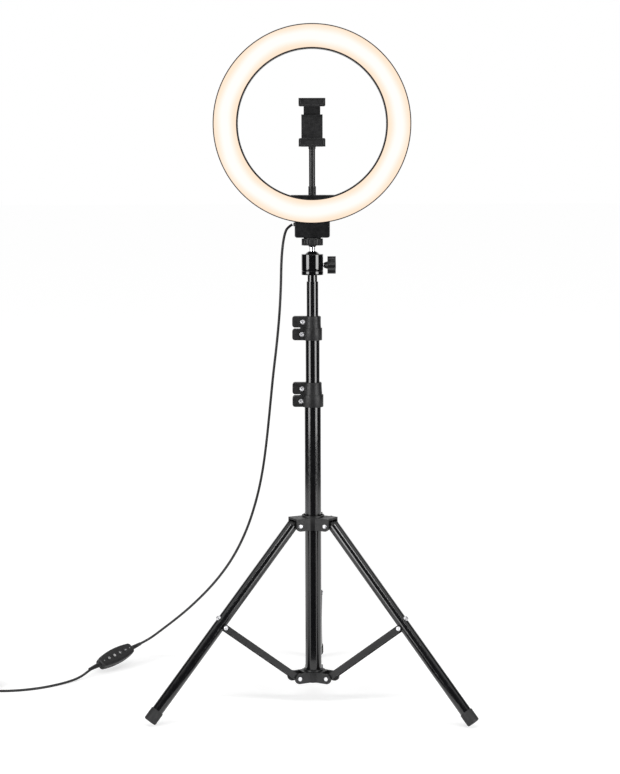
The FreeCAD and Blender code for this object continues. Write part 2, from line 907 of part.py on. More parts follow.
def leg_plug(name):
    """The plastic end of a leg, with the eye that it folds about."""
    offset = dim.leg_pivot_offset.value
    plug = cylinder(dim.leg_tube_radius - dim.leg_tube_wall - 0.02, 16.0, Vector(0, 0, 4))
    flange = cylinder(dim.leg_tube_radius, 2.0, Vector(0, 0, 3))
    eye = cylinder(5.0, 12.4, Vector(-offset, -6.2, 0), Y)
    neck = block(12.0, 12.4, 4.6, Vector(-offset - 4.6, -6.2, 0))
    hole = cylinder(dim.rivet_radius + dim.pin_clearance, 40.0, Vector(-offset, -20, 0), Y)
    return keep(f"leg_plug_{name}", in_leg_frame(name, cut(fuse(plug, flange, eye, neck), hole)))


def foot_boot(name):
    """The rubber boot on the foot of a leg."""
    start = dim.leg_length - dim.boot_length
    boot = cylinder(dim.boot_radius, dim.boot_length, Vector(0, 0, start.value))
    boot = round_edges(
        boot, 2.0,
        lambda edge: edge.BoundBox.ZMin > dim.leg_length.value - 0.1 and edge.Closed,
    )
    pocket = cylinder(dim.leg_tube_radius + 0.02, dim.boot_length - 2.3,
                      Vector(0, 0, start.value - 0.1))
    return keep(f"foot_boot_{name}", in_leg_frame(name, cut(boot, pocket)))


def strut(name):
    """A channel that straddles its leg when folded; its web stops short of the leg."""
    half, deep, wall = dim.strut_half_width, dim.strut_half_depth, dim.strut_wall
    ends = [
        cylinder(deep, half * 2, Vector(x, -half.value, 0), Y) for x in (0, STRUT_LENGTH)
    ]
    bar = block(STRUT_LENGTH, half * 2, deep * 2, Vector(0, -half.value, -deep.value))
    inside = block(STRUT_LENGTH + 20, half * 2 - wall * 2, deep * 2,
                   Vector(-10, -half.value + wall.value, -deep.value - wall.value))
    room = (half - wall) * 2
    upper = block(20.0, room, 20.0, Vector(STRUT_LENGTH - 4.0, -room.value / 2, -10))
    lower = block(10.0, room, 20.0, Vector(-8.0, -room.value / 2, -10))
    low_hole = cylinder(dim.rivet_radius + dim.pin_clearance, 40.0, Vector(0, -20, 0), Y)
    high_hole = cylinder(dim.leg_rivet_radius + dim.pin_clearance, 40.0,
                         Vector(STRUT_LENGTH, -20, 0), Y)
    channel = cut(fuse(bar, *ends), inside, upper, lower, low_hole, high_hole)
    return keep(f"strut_{name}", in_strut_frame(name, channel))


def rivet(at, half_length, radius):
    """A headed rivet along local Y, centred on a point."""
    head = dim.rivet_head_radius
    start = at + Vector(0, -half_length, 0)
    shank = cylinder(radius, 2.0 * half_length, start, Y)
    near = cone(head, head - 1.0, 1.3, start, -Y)
    far = cone(head, head - 1.0, 1.3, at + Vector(0, half_length, 0), Y)
    return fuse(shank, near, far)


def leg_rivets(name):
    """The strut's rivet through the leg, and the round head on the leg's outer side."""
    at = Vector(-dim.leg_pivot_offset.value, 0, dim.strut_station.value)
    pin = rivet(at, dim.strut_half_width.value + 0.2, dim.leg_rivet_radius)
    cap_at = Vector(dim.leg_tube_radius.value - 0.4, 0, dim.strut_station.value - 5.0)
    cap = cone(3.6, 2.4, 2.8, cap_at, X)
    tube_core = cylinder(dim.leg_tube_radius + 0.01, 20.0, cap_at + Vector(-cap_at.x, 0, -10))
    return keep(f"leg_rivets_{name}", in_leg_frame(name, group(pin, cut(cap, tube_core))))


def clevis_arm(name, pivot, bottom, top, end_radius, square_top):
    """A fork arm of a hub at a leg's azimuth: the solid and the slot to cut from it."""
    half = dim.clevis_half_gap + dim.clevis_wall
    width = half * 2
    centre = Vector(pivot.x, -half.value, bottom + end_radius)
    parts = [
        cylinder(end_radius, width, centre, Y),
        block(pivot.x - 6, width, top - bottom, Vector(6, -half.value, bottom)),
    ]
    if square_top:
        parts.append(
            block(pivot.x + end_radius - 6, width, top - bottom - end_radius,
                  Vector(6, -half.value, bottom + end_radius))
        )
    arm = fuse(*parts)
    roof = 2.6 if square_top else -2.0
    slot = block(40.0, dim.clevis_half_gap * 2, top - bottom - roof + 2,
                 Vector(17.2, -dim.clevis_half_gap.value, bottom - 2))
    hole = cylinder(dim.rivet_radius + 0.02, 40.0, Vector(pivot.x, -20, pivot.z), Y)
    turn = Placement(Vector(), around(azimuth(name)))
    return moved(arm, turn), moved(slot, turn), moved(hole, turn)


def leg_hub():
    """The sliding hub that the three legs fold on."""
    bottom, top = dim.hub_bottom.value, dim.hub_top.value
    core = cylinder(dim.hub_core_radius, dim.hub_top - dim.hub_bottom, Vector(0, 0, bottom))
    collar = cylinder(15.0, 2.0, Vector(0, 0, top))
    arms, slots, holes = zip(
        *[clevis_arm(name, HUB_PIVOT, bottom, top, 6.0, True) for name in LEGS]
    )
    bore = cylinder(dim.hub_bore_radius, 40.0, Vector(0, 0, bottom - 5))
    screw_hole = cylinder(2.5, 12.0, Vector(10, 0, dim.hub_pivot_height.value), X)
    moved(screw_hole, Placement(Vector(), around(KNOB_AZIMUTH)))
    return keep(
        "leg_hub",
        cut(fuse(core, collar, *arms), bore, screw_hole, *slots, *holes),
    )


def strut_hub():
    """The fixed hub at the column's foot that the struts fold on."""
    bottom, top = dim.strut_hub_bottom.value, dim.strut_hub_top.value
    core = cylinder(17.0, top - bottom, Vector(0, 0, bottom))
    collar = cylinder(13.2, 2.4, Vector(0, 0, top))
    arms, slots, holes = zip(
        *[clevis_arm(name, STRUT_LOW, bottom, top, 7.0, False) for name in LEGS]
    )
    bore = cylinder(dim.lower_tube_radius + 0.02, 40.0, Vector(0, 0, bottom + 1.5))
    return keep("strut_hub", cut(fuse(core, collar, *arms), bore, *slots, *holes))


def hub_rivets():
    """The leg rivets in the hub. Only the rear one runs through; the other two forks are open."""
    wall, gap = dim.clevis_wall.value, dim.clevis_half_gap.value
    rivets = []
    for name in LEGS:
        turn = Placement(Vector(), around(azimuth(name)))
        whole = rivet(HUB_PIVOT, gap + wall, dim.rivet_radius)
        if name == "rear":
            rivets.append(moved(whole, turn))
            continue
        slot = block(20.0, 2 * gap, 20.0, HUB_PIVOT + Vector(-10, -gap, -10))
        rivets.append(moved(cut(whole, slot), turn))
    return keep("hub_rivets", group(*rivets))


def strut_hub_rivets():
    rivets = []
    for name in LEGS:
        whole = rivet(STRUT_LOW, (dim.clevis_half_gap + dim.clevis_wall).value, dim.rivet_radius)
        rivets.append(moved(whole, Placement(Vector(), around(azimuth(name)))))
    return keep("strut_hub_rivets", group(*rivets))


KNOB_AZIMUTH = 30.0 + dim.stand_turn.value


def hub_lock_knob():
    """The thumb screw that locks the sliding hub, between the rear and right legs."""
    z = dim.hub_pivot_height.value
    screw = cylinder(2.4, 8.0, Vector(13.3, 0, z), X)
    neck = cylinder(4.0, 4.2, Vector(16.3, 0, z), X)
    grip = cylinder(8.0, 9.5, Vector(20.4, 0, z), X)
    bites = []
    for turn in range(8):
        angle = math.radians(45 * turn)
        bites.append(cylinder(1.4, 12.0, Vector(20, 8.4 * math.cos(angle),
                                               z + 8.4 * math.sin(angle)), X))
    knob = cut(fuse(screw, neck, grip), *bites)
    return keep("hub_lock_knob", moved(knob, Placement(Vector(), around(KNOB_AZIMUTH))))


# ---- the phone holder ----


def phone_rod():
    """The rod that stands on the shelf, with a fluted grip and a stud at its foot."""
    shelf = dim.shelf_height.value
    stud = cylinder(2.5, 4.6, Vector(0, 0, shelf - 3.6))
    grip = cylinder(dim.grip_radius, dim.grip_top - dim.shelf_height - 0.3,
                    Vector(0, 0, shelf + 0.3))
    rod = cylinder(dim.rod_radius, dim.rod_top - dim.grip_top + 1.0,
                   Vector(0, 0, dim.grip_top.value - 1))
    flutes = []
    for turn in range(8):
        angle = math.radians(22.5 + 45 * turn)
        reach = dim.grip_radius.value + 0.5
        at = Vector(reach * math.cos(angle), reach * math.sin(angle), shelf)
        flutes.append(cylinder(1.1, dim.grip_top - dim.shelf_height - 1.2, at))
    return keep("phone_rod", cut(fuse(stud, grip, rod), *flutes))


def jaw(bottom, lip_up):
    """A shelf with an upturned or downturned front lip; its panel is sunk a little."""
    half, lip, wall = dim.jaw_half_width, dim.jaw_lip.value, dim.jaw_wall.value
    reach = dim.jaw_reach.value
    shelf = block(half * 2, reach + 6.0, wall, Vector(-half.value, -reach, bottom))
    lip_bottom = bottom if lip_up else bottom + wall - lip
    front = block(half * 2, wall, lip, Vector(-half.value, -reach, lip_bottom))
    front = round_edges(front, 2.0, runs_along(Y))
    panel = block(half * 2 - 5.0, 0.8, lip - 4.5,
                  Vector(-half.value + 2.5, -reach - 0.2, lip_bottom + 2.25))
    return cut(fuse(shelf, front), panel)


def clamp_body():
    """The fixed part of the phone clamp: lower jaw and back plate."""
    bottom = dim.jaw_bottom.value
    back = block(28.0, 4.0, 42.0, Vector(-14, 2, bottom))
    neck = cylinder(4.7, 3.5, Vector(0, 0, bottom - 3.2))
    socket = cylinder(dim.rod_radius + 0.01, 4.0, Vector(0, 0, bottom - 4))
    return keep("clamp_body", cut(fuse(jaw(bottom, True), back, neck), socket))


def clamp_upper_jaw():
    """The spring-loaded upper jaw, whose slide runs behind the back plate."""
    bottom = dim.jaw_bottom.value + dim.jaw_wall.value + dim.jaw_opening.value
    slide = block(22.0, 2.2, 56.0, Vector(-11, 6.3, bottom - 53.0))
    top = block(2 * dim.jaw_half_width, 3.0, dim.jaw_wall, Vector(-17.5, 5.5, bottom))
    return keep("clamp_upper_jaw", fuse(jaw(bottom, False), top, slide))


# ---- the lead ----

# The controller's own frame: local X is along the lead, local Z is out of its face.
CONTROL_AT = Vector(-286.5, 176.0, 18.5)
CONTROL_ALONG = Vector(0.594, 0.792, 0.141).normalize()
CONTROL_SIDE = CONTROL_ALONG.cross(Z).normalize()
CONTROL_UP = CONTROL_SIDE.cross(CONTROL_ALONG)
CONTROL_OUT = (CONTROL_UP + CONTROL_SIDE).normalize()
CONTROL_FRAME = Placement(
    CONTROL_AT,
    Rotation(CONTROL_ALONG, CONTROL_OUT.cross(CONTROL_ALONG), CONTROL_OUT, "ZXY"),
)
CONTROL_SPLIT = 1.0
CONTROL_FACE_RISE = 0.5

# The route of the lead. It hangs behind the column, runs straight through the controller, and
# lies on the floor as far as its coil.
HANGING_ROUTE = [
    Vector(-26.3, 14.15, 647.0),
    Vector(-33.2, 14.15, 643.0),
    Vector(-36.9, 14.2, 633.7),
    Vector(-39.6, 14.5, 618.0),
    Vector(-41.3, 14.9, 597.0),
    Vector(-42.0, 15.3, 565.0),
    Vector(-43.9, 17.0, 529.0),
    Vector(-48.0, 21.5, 486.0),
    Vector(-53.4, 27.0, 443.0),
    Vector(-57.9, 31.7, 398.0),
    Vector(-62.6, 36.7, 353.0),
    Vector(-68.6, 43.0, 309.0),
    Vector(-77.6, 52.5, 268.0),
    Vector(-91.5, 67.0, 224.0),
    Vector(-112.0, 88.5, 180.0),
    Vector(-139.5, 117.5, 138.6),
    Vector(-170.7, 150.1, 101.5),
    Vector(-196.0, 177.0, 75.0),
    Vector(-222.0, 204.5, 50.0),
    Vector(-238.5, 220.5, 34.5),
]
CONTROL_ROUTE = [CONTROL_AT + CONTROL_ALONG * reach for reach in (50.0, 22.0, -22.0, -50.0)]
FLOOR_ROUTE = [
    Vector(-330.5, 117.0, 3.2),
    Vector(-351.0, 92.0, 1.76),
    Vector(-380.0, 67.0, 1.76),
    Vector(-413.0, 53.5, 1.76),
    Vector(-444.0, 52.5, 1.76),
    Vector(-466.0, 59.0, 3.4),
]
LEAD_ROUTE = HANGING_ROUTE + CONTROL_ROUTE + FLOOR_ROUTE


STRAIGHT = 1e-4


def rounded_path(points, share=0.45):
    """Straight runs joined by tangent arcs, each arc as large as its two runs allow."""
    edges, radii = [], []
    start = points[0]
    for before, corner, after in zip(points, points[1:], points[2:]):
        back, ahead = before - corner, after - corner
        shorter = min(back.Length, ahead.Length)
        back.normalize()
        ahead.normalize()
        turn = math.pi - back.getAngle(ahead)
        if turn < STRAIGHT:
            continue
        reach = share * shorter
        radii.append(reach / math.tan(turn / 2))
        inward = back + ahead
        inward.normalize()
        enter, leave = corner + back * reach, corner + ahead * reach
        depth = radii[-1] / math.cos(turn / 2) - radii[-1]
        edges.append(Part.LineSegment(start, enter).toShape())
        edges.append(Part.Arc(enter, corner + inward * depth, leave).toShape())
        start = leave
    edges.append(Part.LineSegment(start, points[-1]).toShape())
    return Part.Wire(edges), radii


def cable_tube():
    """The lead from the gland to its coil, as one tube along the route."""
    path, radii = rounded_path(LEAD_ROUTE)
    radius = dim.lead_diameter.value / 2
    start = path.Edges[0]
    heading = start.tangentAt(start.FirstParameter)
    section = Part.Wire(Part.Circle(LEAD_ROUTE[0], heading, radius).toShape())
    solid = path.makePipeShell([section], True, False)
    expected = math.pi * radius**2 * path.Length
    print("lead radii", [round(r, 1) for r in radii])
    print("lead length", round(path.Length, 1), "volume ratio", round(solid.Volume / expected, 4))
    lead = doc.addObject("Part::Feature", "cable_tube")
    lead.Shape = solid
    return keep("cable_tube", lead)


def cable_coil():
    """The rest of the lead, wound in a neat coil that lies on the floor."""
    coil = doc.addObject("Part::Torus", "coil")
    bind(coil, Radius1=dim.coil_radius, Radius2=dim.coil_bundle_radius)
    end = LEAD_ROUTE[-1]
    at = Vector(end.x, end.y + dim.coil_radius.value, dim.coil_bundle_radius.value + 0.05)
    coil.Placement = Placement(at, Rotation())
    return keep("cable_coil", coil)


def usb_plug():
    """The plug on the end of the lead, where it leaves the coil."""
    end = LEAD_ROUTE[-1]
    at = Vector(end.x - dim.coil_radius.value, end.y + dim.coil_radius.value + 15.0, 0)
    grip = block(12.0, 22.0, 7.6, at + Vector(-6.0, 0, 0.1))
    grip = round_edges(grip, 1.6, runs_along(Y))
    shell = block(12.0, 12.0, 4.5, at + Vector(-6.0, 21.5, 1.65))
    return keep("usb_plug", fuse(grip, shell))


def control_outline(length, width, low, high, side_radius, corner):
    """A slab between two levels with bowed sides and rounded ends."""
    slab = block(length, width, high - low, Vector(-length.value / 2, -width.value / 2, low))
    for side in (-1, 1):
        middle = Vector(0, side * (side_radius - width.value / 2), low - 1)
        slab = common(slab, cylinder(side_radius, high - low + 2, middle))
    return round_edges(slab, corner, runs_along(Z))


def control_blank():
    """The controller's rounded outside, with a raised face for the buttons."""
    half = dim.control_thickness.value / 2
    blank = control_outline(dim.control_length, dim.control_width, -half, half, 150.0, 5.0)
    blank = round_edges(blank, 2.2, lambda edge: edge.BoundBox.ZLength < 1e-6)
    face = control_outline(dim.control_length - 6.0, dim.control_width - 7.0,
                           half - 1.0, half + CONTROL_FACE_RISE, 150.0, 3.0)
    return fuse(blank, face)


def control_half(label, low, high, holes):
    """One shell of the controller, cut from the blank between two levels."""
    length, width = dim.control_length, dim.control_width
    slab = block(length + 4, width + 4, high - low,
                 Vector(-length.value / 2 - 2, -width.value / 2 - 2, low))
    wall, end_wall, room = 1.8, 4.0, 12.0
    hollow = block(length - 2 * end_wall, room, dim.control_thickness - 2 * wall,
                   Vector(-length.value / 2 + end_wall, -room / 2,
                          -dim.control_thickness.value / 2 + wall))
    lead = cylinder(dim.lead_diameter * 0.5 + 0.02, length + 10,
                    Vector(-length.value / 2 - 5, 0, 0), X)
    shell = cut(common(control_blank(), slab), hollow, lead, *holes)
    return keep(label, moved(shell, CONTROL_FRAME))


def button_centres():
    """Where the four buttons sit along the controller."""
    return [dim.button_pitch.value * (step - 1.5) for step in range(4)]


def controller_shells():
    half = dim.control_thickness.value / 2
    holes = [
        cylinder(dim.button_radius + 0.3, 10.0, Vector(x, 0, half - 5)) for x in button_centres()
    ]
    control_half("controller_front", CONTROL_SPLIT + 0.02, half + 1, holes)
    control_half("controller_back", -half - 1, CONTROL_SPLIT, [])


def controller_buttons():
    """Four round push buttons."""
    half = dim.control_thickness.value / 2
    for name, x in zip(("power", "colour", "brighter", "dimmer"), button_centres()):
        cap = cylinder(dim.button_radius, 3.4, Vector(x, 0, half - 2.4))
        keep(f"button_{name}", moved(cap, CONTROL_FRAME))


def build():
    """Makes every sub-part."""
    ring_shell()
    ring_diffuser()
    led_board()
    ring_screws()
    base_block()
    thread_insert()
    cable_gland()
    stem_stud()
    head_ball()
    ball_cup()
    ball_head_housing()
    ball_lock_screw()
    ball_lock_knob()
    lock_wheel()
    top_spigot()
    for name in ("lower", "middle", "upper"):
        column_tube(name)
    guide_bush("middle", "lower")
    guide_bush("upper", "middle")
    for name in COLLARS:
        clamp_collar(name)
        collar_bolts(name)
        collar_nuts(name)
        cam_lever(name)
    leg_hub()
    strut_hub()
    hub_rivets()
    strut_hub_rivets()
    hub_lock_knob()
    for name in LEGS:
        leg_tube(name)
        leg_plug(name)
        foot_boot(name)
        strut(name)
        leg_rivets(name)
    phone_rod()
    clamp_body()
    clamp_upper_jaw()
    cable_tube()
    cable_coil()
    usb_plug()
    controller_shells()
    controller_buttons()


def check_and_export():
    """Stops on any failed object, then writes one STEP file for each sub-part."""
    doc.recompute()
    for item in doc.Objects:
        if "Invalid" in item.State or "Error" in item.State:
            raise RuntimeError(f"{item.Label} failed: {item.State}")
    os.makedirs("parts", exist_ok=True)
    for label, item in SUBPARTS.items():
        shape = item.Shape
        if shape.isNull() or not shape.isValid() or not shape.Solids:
            raise RuntimeError(f"{label} has no valid solid")
        print(f"{label:22s} {len(shape.Solids)} solids {shape.Volume:10.1f} mm3")
    for label, item in SUBPARTS.items():
        item.Shape.exportStep(f"parts/{label}.step")


build()
check_and_export()
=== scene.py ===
"""A ring light on a folding stand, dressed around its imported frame."""

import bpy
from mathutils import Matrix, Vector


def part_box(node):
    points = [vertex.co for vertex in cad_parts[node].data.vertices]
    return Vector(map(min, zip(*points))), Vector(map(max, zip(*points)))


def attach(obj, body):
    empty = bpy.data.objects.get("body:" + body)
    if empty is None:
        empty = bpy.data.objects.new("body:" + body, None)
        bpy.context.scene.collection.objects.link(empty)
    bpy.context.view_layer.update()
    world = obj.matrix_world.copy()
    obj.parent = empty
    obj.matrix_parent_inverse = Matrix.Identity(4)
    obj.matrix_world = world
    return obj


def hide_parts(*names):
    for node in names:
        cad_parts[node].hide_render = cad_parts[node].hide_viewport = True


bl_info = {
    "name": "Ring Light On A Stand",
    "version": (1, 0, 0),
    "blender": (4, 5, 0),
    "location": "View3D > Sidebar > Ring Light",
    "description": "Builds the finishes, lead and studio of a ring light around its frame",
    "category": "Object",
}

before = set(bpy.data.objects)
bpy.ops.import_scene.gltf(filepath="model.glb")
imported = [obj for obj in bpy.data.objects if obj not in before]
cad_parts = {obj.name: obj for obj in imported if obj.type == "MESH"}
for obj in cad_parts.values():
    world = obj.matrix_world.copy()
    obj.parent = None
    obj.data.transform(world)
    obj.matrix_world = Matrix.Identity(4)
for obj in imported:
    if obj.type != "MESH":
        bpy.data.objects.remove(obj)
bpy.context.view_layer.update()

import math

import bpy
from bpy.props import FloatProperty, FloatVectorProperty, PointerProperty
from mathutils import Matrix, Vector

MM = 0.001
RING_CENTRE = Vector((0.0, 0.0, 0.779))
TOWARDS_VIEWER = Vector((0.0, -1.0, 0.0))
SHALLOW_ANGLE = 35.0


# ---- settings that a user would change ----


def length_property(name, description, default):
    return FloatProperty(
        name=name, description=description, default=default, min=0.0, unit="LENGTH"
    )


def colour_property(name, description, default):
    return FloatVectorProperty(
        name=name, description=description, default=default, subtype="COLOR",
        size=3, min=0.0, max=1.0,
    )


class RingLightColours(bpy.types.PropertyGroup):
    plastic: colour_property("Plastic", "Textured black plastic", (0.0075, 0.0075, 0.008))
    paint: colour_property("Paint", "Gloss paint on the tubes", (0.004, 0.004, 0.0045))
    steel: colour_property("Steel", "Bright screws and rivets", (0.70, 0.70, 0.72))
    glow_middle: colour_property("Glow middle", "Middle of the lit cover", (1.0, 0.985, 0.95))
    glow_edge: colour_property("Glow edge", "Rims of the lit cover", (1.0, 0.79, 0.61))
    floor: colour_property("Floor", "Pale studio floor", (0.80, 0.80, 0.80))


class RingLightSizes(bpy.types.PropertyGroup):
    edge: length_property("Edge", "Rounding of moulded edges", 0.0007)
    lead: length_property("Lead", "Diameter of the lead", 0.0035)
    relief: length_property("Relief", "Length of a strain relief", 0.022)
    glow: FloatProperty(name="Glow", description="Strength of the lit cover", default=0.96)


def colours():
    """The scene's colour settings."""
    return bpy.context.scene.ring_light_colours


def sizes():
    """The scene's size settings."""
    return bpy.context.scene.ring_light_sizes


# ---- small tools ----


def deselect():
    """Leaves nothing selected."""
    bpy.ops.object.select_all(action="DESELECT")


def make_active(piece):
    """Selects one piece alone, for the operators to act on."""
    deselect()
    piece.select_set(True)
    bpy.context.view_layer.objects.active = piece


def settle(name, smooth=SHALLOW_ANGLE):
    """Names the active object, puts its place into its mesh and smooths its shallow edges."""
    piece = bpy.context.object
    piece.name = name
    piece.data.name = name
    make_active(piece)
    bpy.ops.object.transform_apply(location=True, rotation=True, scale=True)
    bpy.ops.object.shade_smooth_by_angle(angle=math.radians(smooth))
    return piece


def apply_modifier(piece, kind, **values):
    """Adds a modifier with its settings and applies it."""
    make_active(piece)
    modifier = piece.modifiers.new(kind.title(), kind)
    for key, value in values.items():
        setattr(modifier, key, value)
    bpy.ops.object.modifier_apply(modifier=modifier.name)


def round_off(piece, width, segments=2, angle=SHALLOW_ANGLE):
    """Bevels the edges that are sharper than an angle."""
    apply_modifier(
        piece, "BEVEL", width=width, segments=segments, limit_method="ANGLE",
        angle_limit=math.radians(angle), use_clamp_overlap=True,
    )
    make_active(piece)
    bpy.ops.object.shade_smooth_by_angle(angle=math.radians(angle))
    return piece


def facing(axis):
    """The turn that points a piece's own Z along an axis."""
    return Vector(axis).to_track_quat("Z", "Y").to_euler()


def place(name, at, turn=None, smooth=SHALLOW_ANGLE):
    """Moves the active object to its place and settles it there."""
    piece = bpy.context.object
    piece.rotation_euler = turn or (0, 0, 0)
    piece.location = at
    return settle(name, smooth)


def start_point(at):
    """A single corner to extrude from, left selected in edit mode."""
    deselect()
    bpy.ops.mesh.primitive_plane_add(size=0.01)
    bpy.ops.object.mode_set(mode="EDIT")
    bpy.ops.mesh.select_mode(type="VERT")
    bpy.ops.mesh.select_all(action="SELECT")
    bpy.ops.mesh.merge(type="CENTER")
    bpy.ops.transform.translate(value=at)


def lathe(name, profile, at, turn=None, steps=96, closed=False):
    """A piece turned about its Z axis from (radius, height) points in metres."""
    points = list(profile) + ([profile[0]] if closed else [])
    start_point((points[0][0], 0, points[0][1]))
    for (r0, h0), (r1, h1) in zip(points, points[1:]):
        bpy.ops.mesh.extrude_vertices_move(
            TRANSFORM_OT_translate={"value": (r1 - r0, 0, h1 - h0)}
        )
    bpy.ops.mesh.select_all(action="SELECT")
    bpy.ops.mesh.spin(steps=steps, angle=math.tau, center=(0, 0, 0), axis=(0, 0, 1))
    bpy.ops.mesh.select_all(action="SELECT")
    bpy.ops.mesh.remove_doubles(threshold=1e-6)
    bpy.ops.mesh.normals_make_consistent(inside=False)
    bpy.ops.object.mode_set(mode="OBJECT")
    return place(name, at, turn)


def start_block(size):
    """A cube at its size, active and not yet in its place."""
    deselect()
    bpy.ops.mesh.primitive_cube_add(size=1)
    block = bpy.context.object
    block.scale = size
    bpy.ops.object.transform_apply(location=False, rotation=False, scale=True)
    return block


BLOCK_ROUNDING = 0.2


def rounded_block(name, size, at, turn=None, width=None, segments=3):
    """A box with rounded edges."""
    block = start_block(size)
    round_off(block, width or min(size) * BLOCK_ROUNDING, segments)
    return place(name, at, turn)


def pick_faces(piece, wanted):
    """Selects the faces that pass a test and leaves the piece in edit mode."""
    make_active(piece)
    bpy.ops.object.mode_set(mode="EDIT")
    bpy.ops.mesh.select_mode(type="FACE")
    bpy.ops.mesh.select_all(action="DESELECT")
    bpy.ops.object.mode_set(mode="OBJECT")
    for face in piece.data.polygons:
        face.select = wanted(face)
    bpy.ops.object.mode_set(mode="EDIT")


def joined(name, pieces):
    """Joins pieces into one."""
    make_active(pieces[0])
    for piece in pieces:
        piece.select_set(True)
    bpy.ops.object.join()
    piece = bpy.context.object
    piece.name = piece.data.name = name
    return piece


WELD_DISTANCE = 1e-5
FLAT_ANGLE = 0.6


def ease(node, width, segments=2, angle=30.0):
    """Rounds a CAD node's sharp edges with live modifiers, which leave its mesh alone."""
    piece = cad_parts[node]
    weld = piece.modifiers.new("Weld", "WELD")
    weld.merge_threshold = WELD_DISTANCE
    flat = piece.modifiers.new("Flat", "DECIMATE")
    flat.decimate_type = "DISSOLVE"
    flat.angle_limit = math.radians(FLAT_ANGLE)
    bevel = piece.modifiers.new("Edge", "BEVEL")
    bevel.width = width
    bevel.segments = segments
    bevel.limit_method = "ANGLE"
    bevel.angle_limit = math.radians(angle)
    return piece


def dress(piece, material):
    """Gives a piece one finish all over."""
    piece.data.materials.clear()
    piece.data.materials.append(material)
    return piece


def dress_node(node, material):
    """Gives one of the frame's own parts a finish."""
    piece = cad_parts[node]
    if not piece.material_slots:
        piece.data.materials.append(material)
    for slot in piece.material_slots:
        slot.link = "OBJECT"
        slot.material = material


# ---- finishes ----

NOISE_REACH = (0.35, 0.65)
MOTTLE_SCALE = 60.0
SHEEN_SCALE = 220.0
LOWEST_ROUGHNESS = 0.02
COAT_ROUGHNESS = 0.06
COVER_RIMS = (0.0994, 0.1290)
WARM_STOPS = (0.02, 0.98)
WHITE_STOPS = (0.42, 0.58)
GLOW_DRIFT = 0.05
GLOW_DRIFT_SCALE = 14.0

def new_material(name):
    """An empty finish with its node tree, its shader and the object's coordinates."""
    material = bpy.data.materials.new(name)
    material.use_nodes = True
    tree = material.node_tree
    shader = tree.nodes["Principled BSDF"]
    coords = tree.nodes.new("ShaderNodeTexCoord")
    return material, tree, shader, coords.outputs["Object"]


def noise(tree, coords, scale, detail=2.0, stretch=(1, 1, 1)):
    """Even noise, or noise drawn out along an axis."""
    mapping = tree.nodes.new("ShaderNodeMapping")
    mapping.inputs["Scale"].default_value = stretch
    tree.links.new(coords, mapping.inputs["Vector"])
    texture = tree.nodes.new("ShaderNodeTexNoise")
    texture.inputs["Scale"].default_value = scale
    texture.inputs["Detail"].default_value = detail
    tree.links.new(mapping.outputs["Vector"], texture.inputs["Vector"])
    return texture.outputs["Fac"]


def spread(tree, value, low, high):
    """Maps the middle reach of a noise onto a range."""
    ramp = tree.nodes.new("ShaderNodeMapRange")
    ramp.inputs["From Min"].default_value = NOISE_REACH[0]
    ramp.inputs["From Max"].default_value = NOISE_REACH[1]
    ramp.inputs["To Min"].default_value = low
    ramp.inputs["To Max"].default_value = high
    tree.links.new(value, ramp.inputs["Value"])
    return ramp.outputs["Result"]


def blend_colours(tree, factor, first, second):
    """Mixes two colours by a factor."""
    mix = tree.nodes.new("ShaderNodeMix")
    mix.data_type = "RGBA"
    mix.inputs["A"].default_value = (*first, 1)
    mix.inputs["B"].default_value = (*second, 1)
    tree.links.new(factor, mix.inputs["Factor"])
    return mix.outputs["Result"]


def bump(tree, shader, height, distance):
    """Raises the surface by a height, in metres."""
    node = tree.nodes.new("ShaderNodeBump")
    node.inputs["Strength"].default_value = 1.0
    node.inputs["Distance"].default_value = distance
    tree.links.new(height, node.inputs["Height"])
    tree.links.new(node.outputs["Normal"], shader.inputs["Normal"])


def make_finish(name, colour, rough, metallic=0.0, coat=0.0, grain=900.0, depth=0.00003,
                mottle=0.18, stretch=(1, 1, 1), rough_spread=0.06, specular=0.5):
    """A finish with fine grain, a little mottling and an uneven sheen."""
    material, tree, shader, coords = new_material(name)
    shader.inputs["Metallic"].default_value = metallic
    shader.inputs["Coat Weight"].default_value = coat
    shader.inputs["Coat Roughness"].default_value = COAT_ROUGHNESS
    shader.inputs["Specular IOR Level"].default_value = specular
    soft = noise(tree, coords, MOTTLE_SCALE, 3.0)
    dark = [channel * (1 - mottle) for channel in colour]
    light = [min(1.0, channel * (1 + mottle)) for channel in colour]
    factor = spread(tree, soft, 0.0, 1.0)
    tree.links.new(blend_colours(tree, factor, dark, light), shader.inputs["Base Color"])
    sheen = noise(tree, coords, SHEEN_SCALE, 2.0, stretch)
    low, high = max(LOWEST_ROUGHNESS, rough - rough_spread), rough + rough_spread
    tree.links.new(spread(tree, sheen, low, high), shader.inputs["Roughness"])
    if depth:
        bump(tree, shader, noise(tree, coords, grain, 2.0, stretch), depth)
    return material


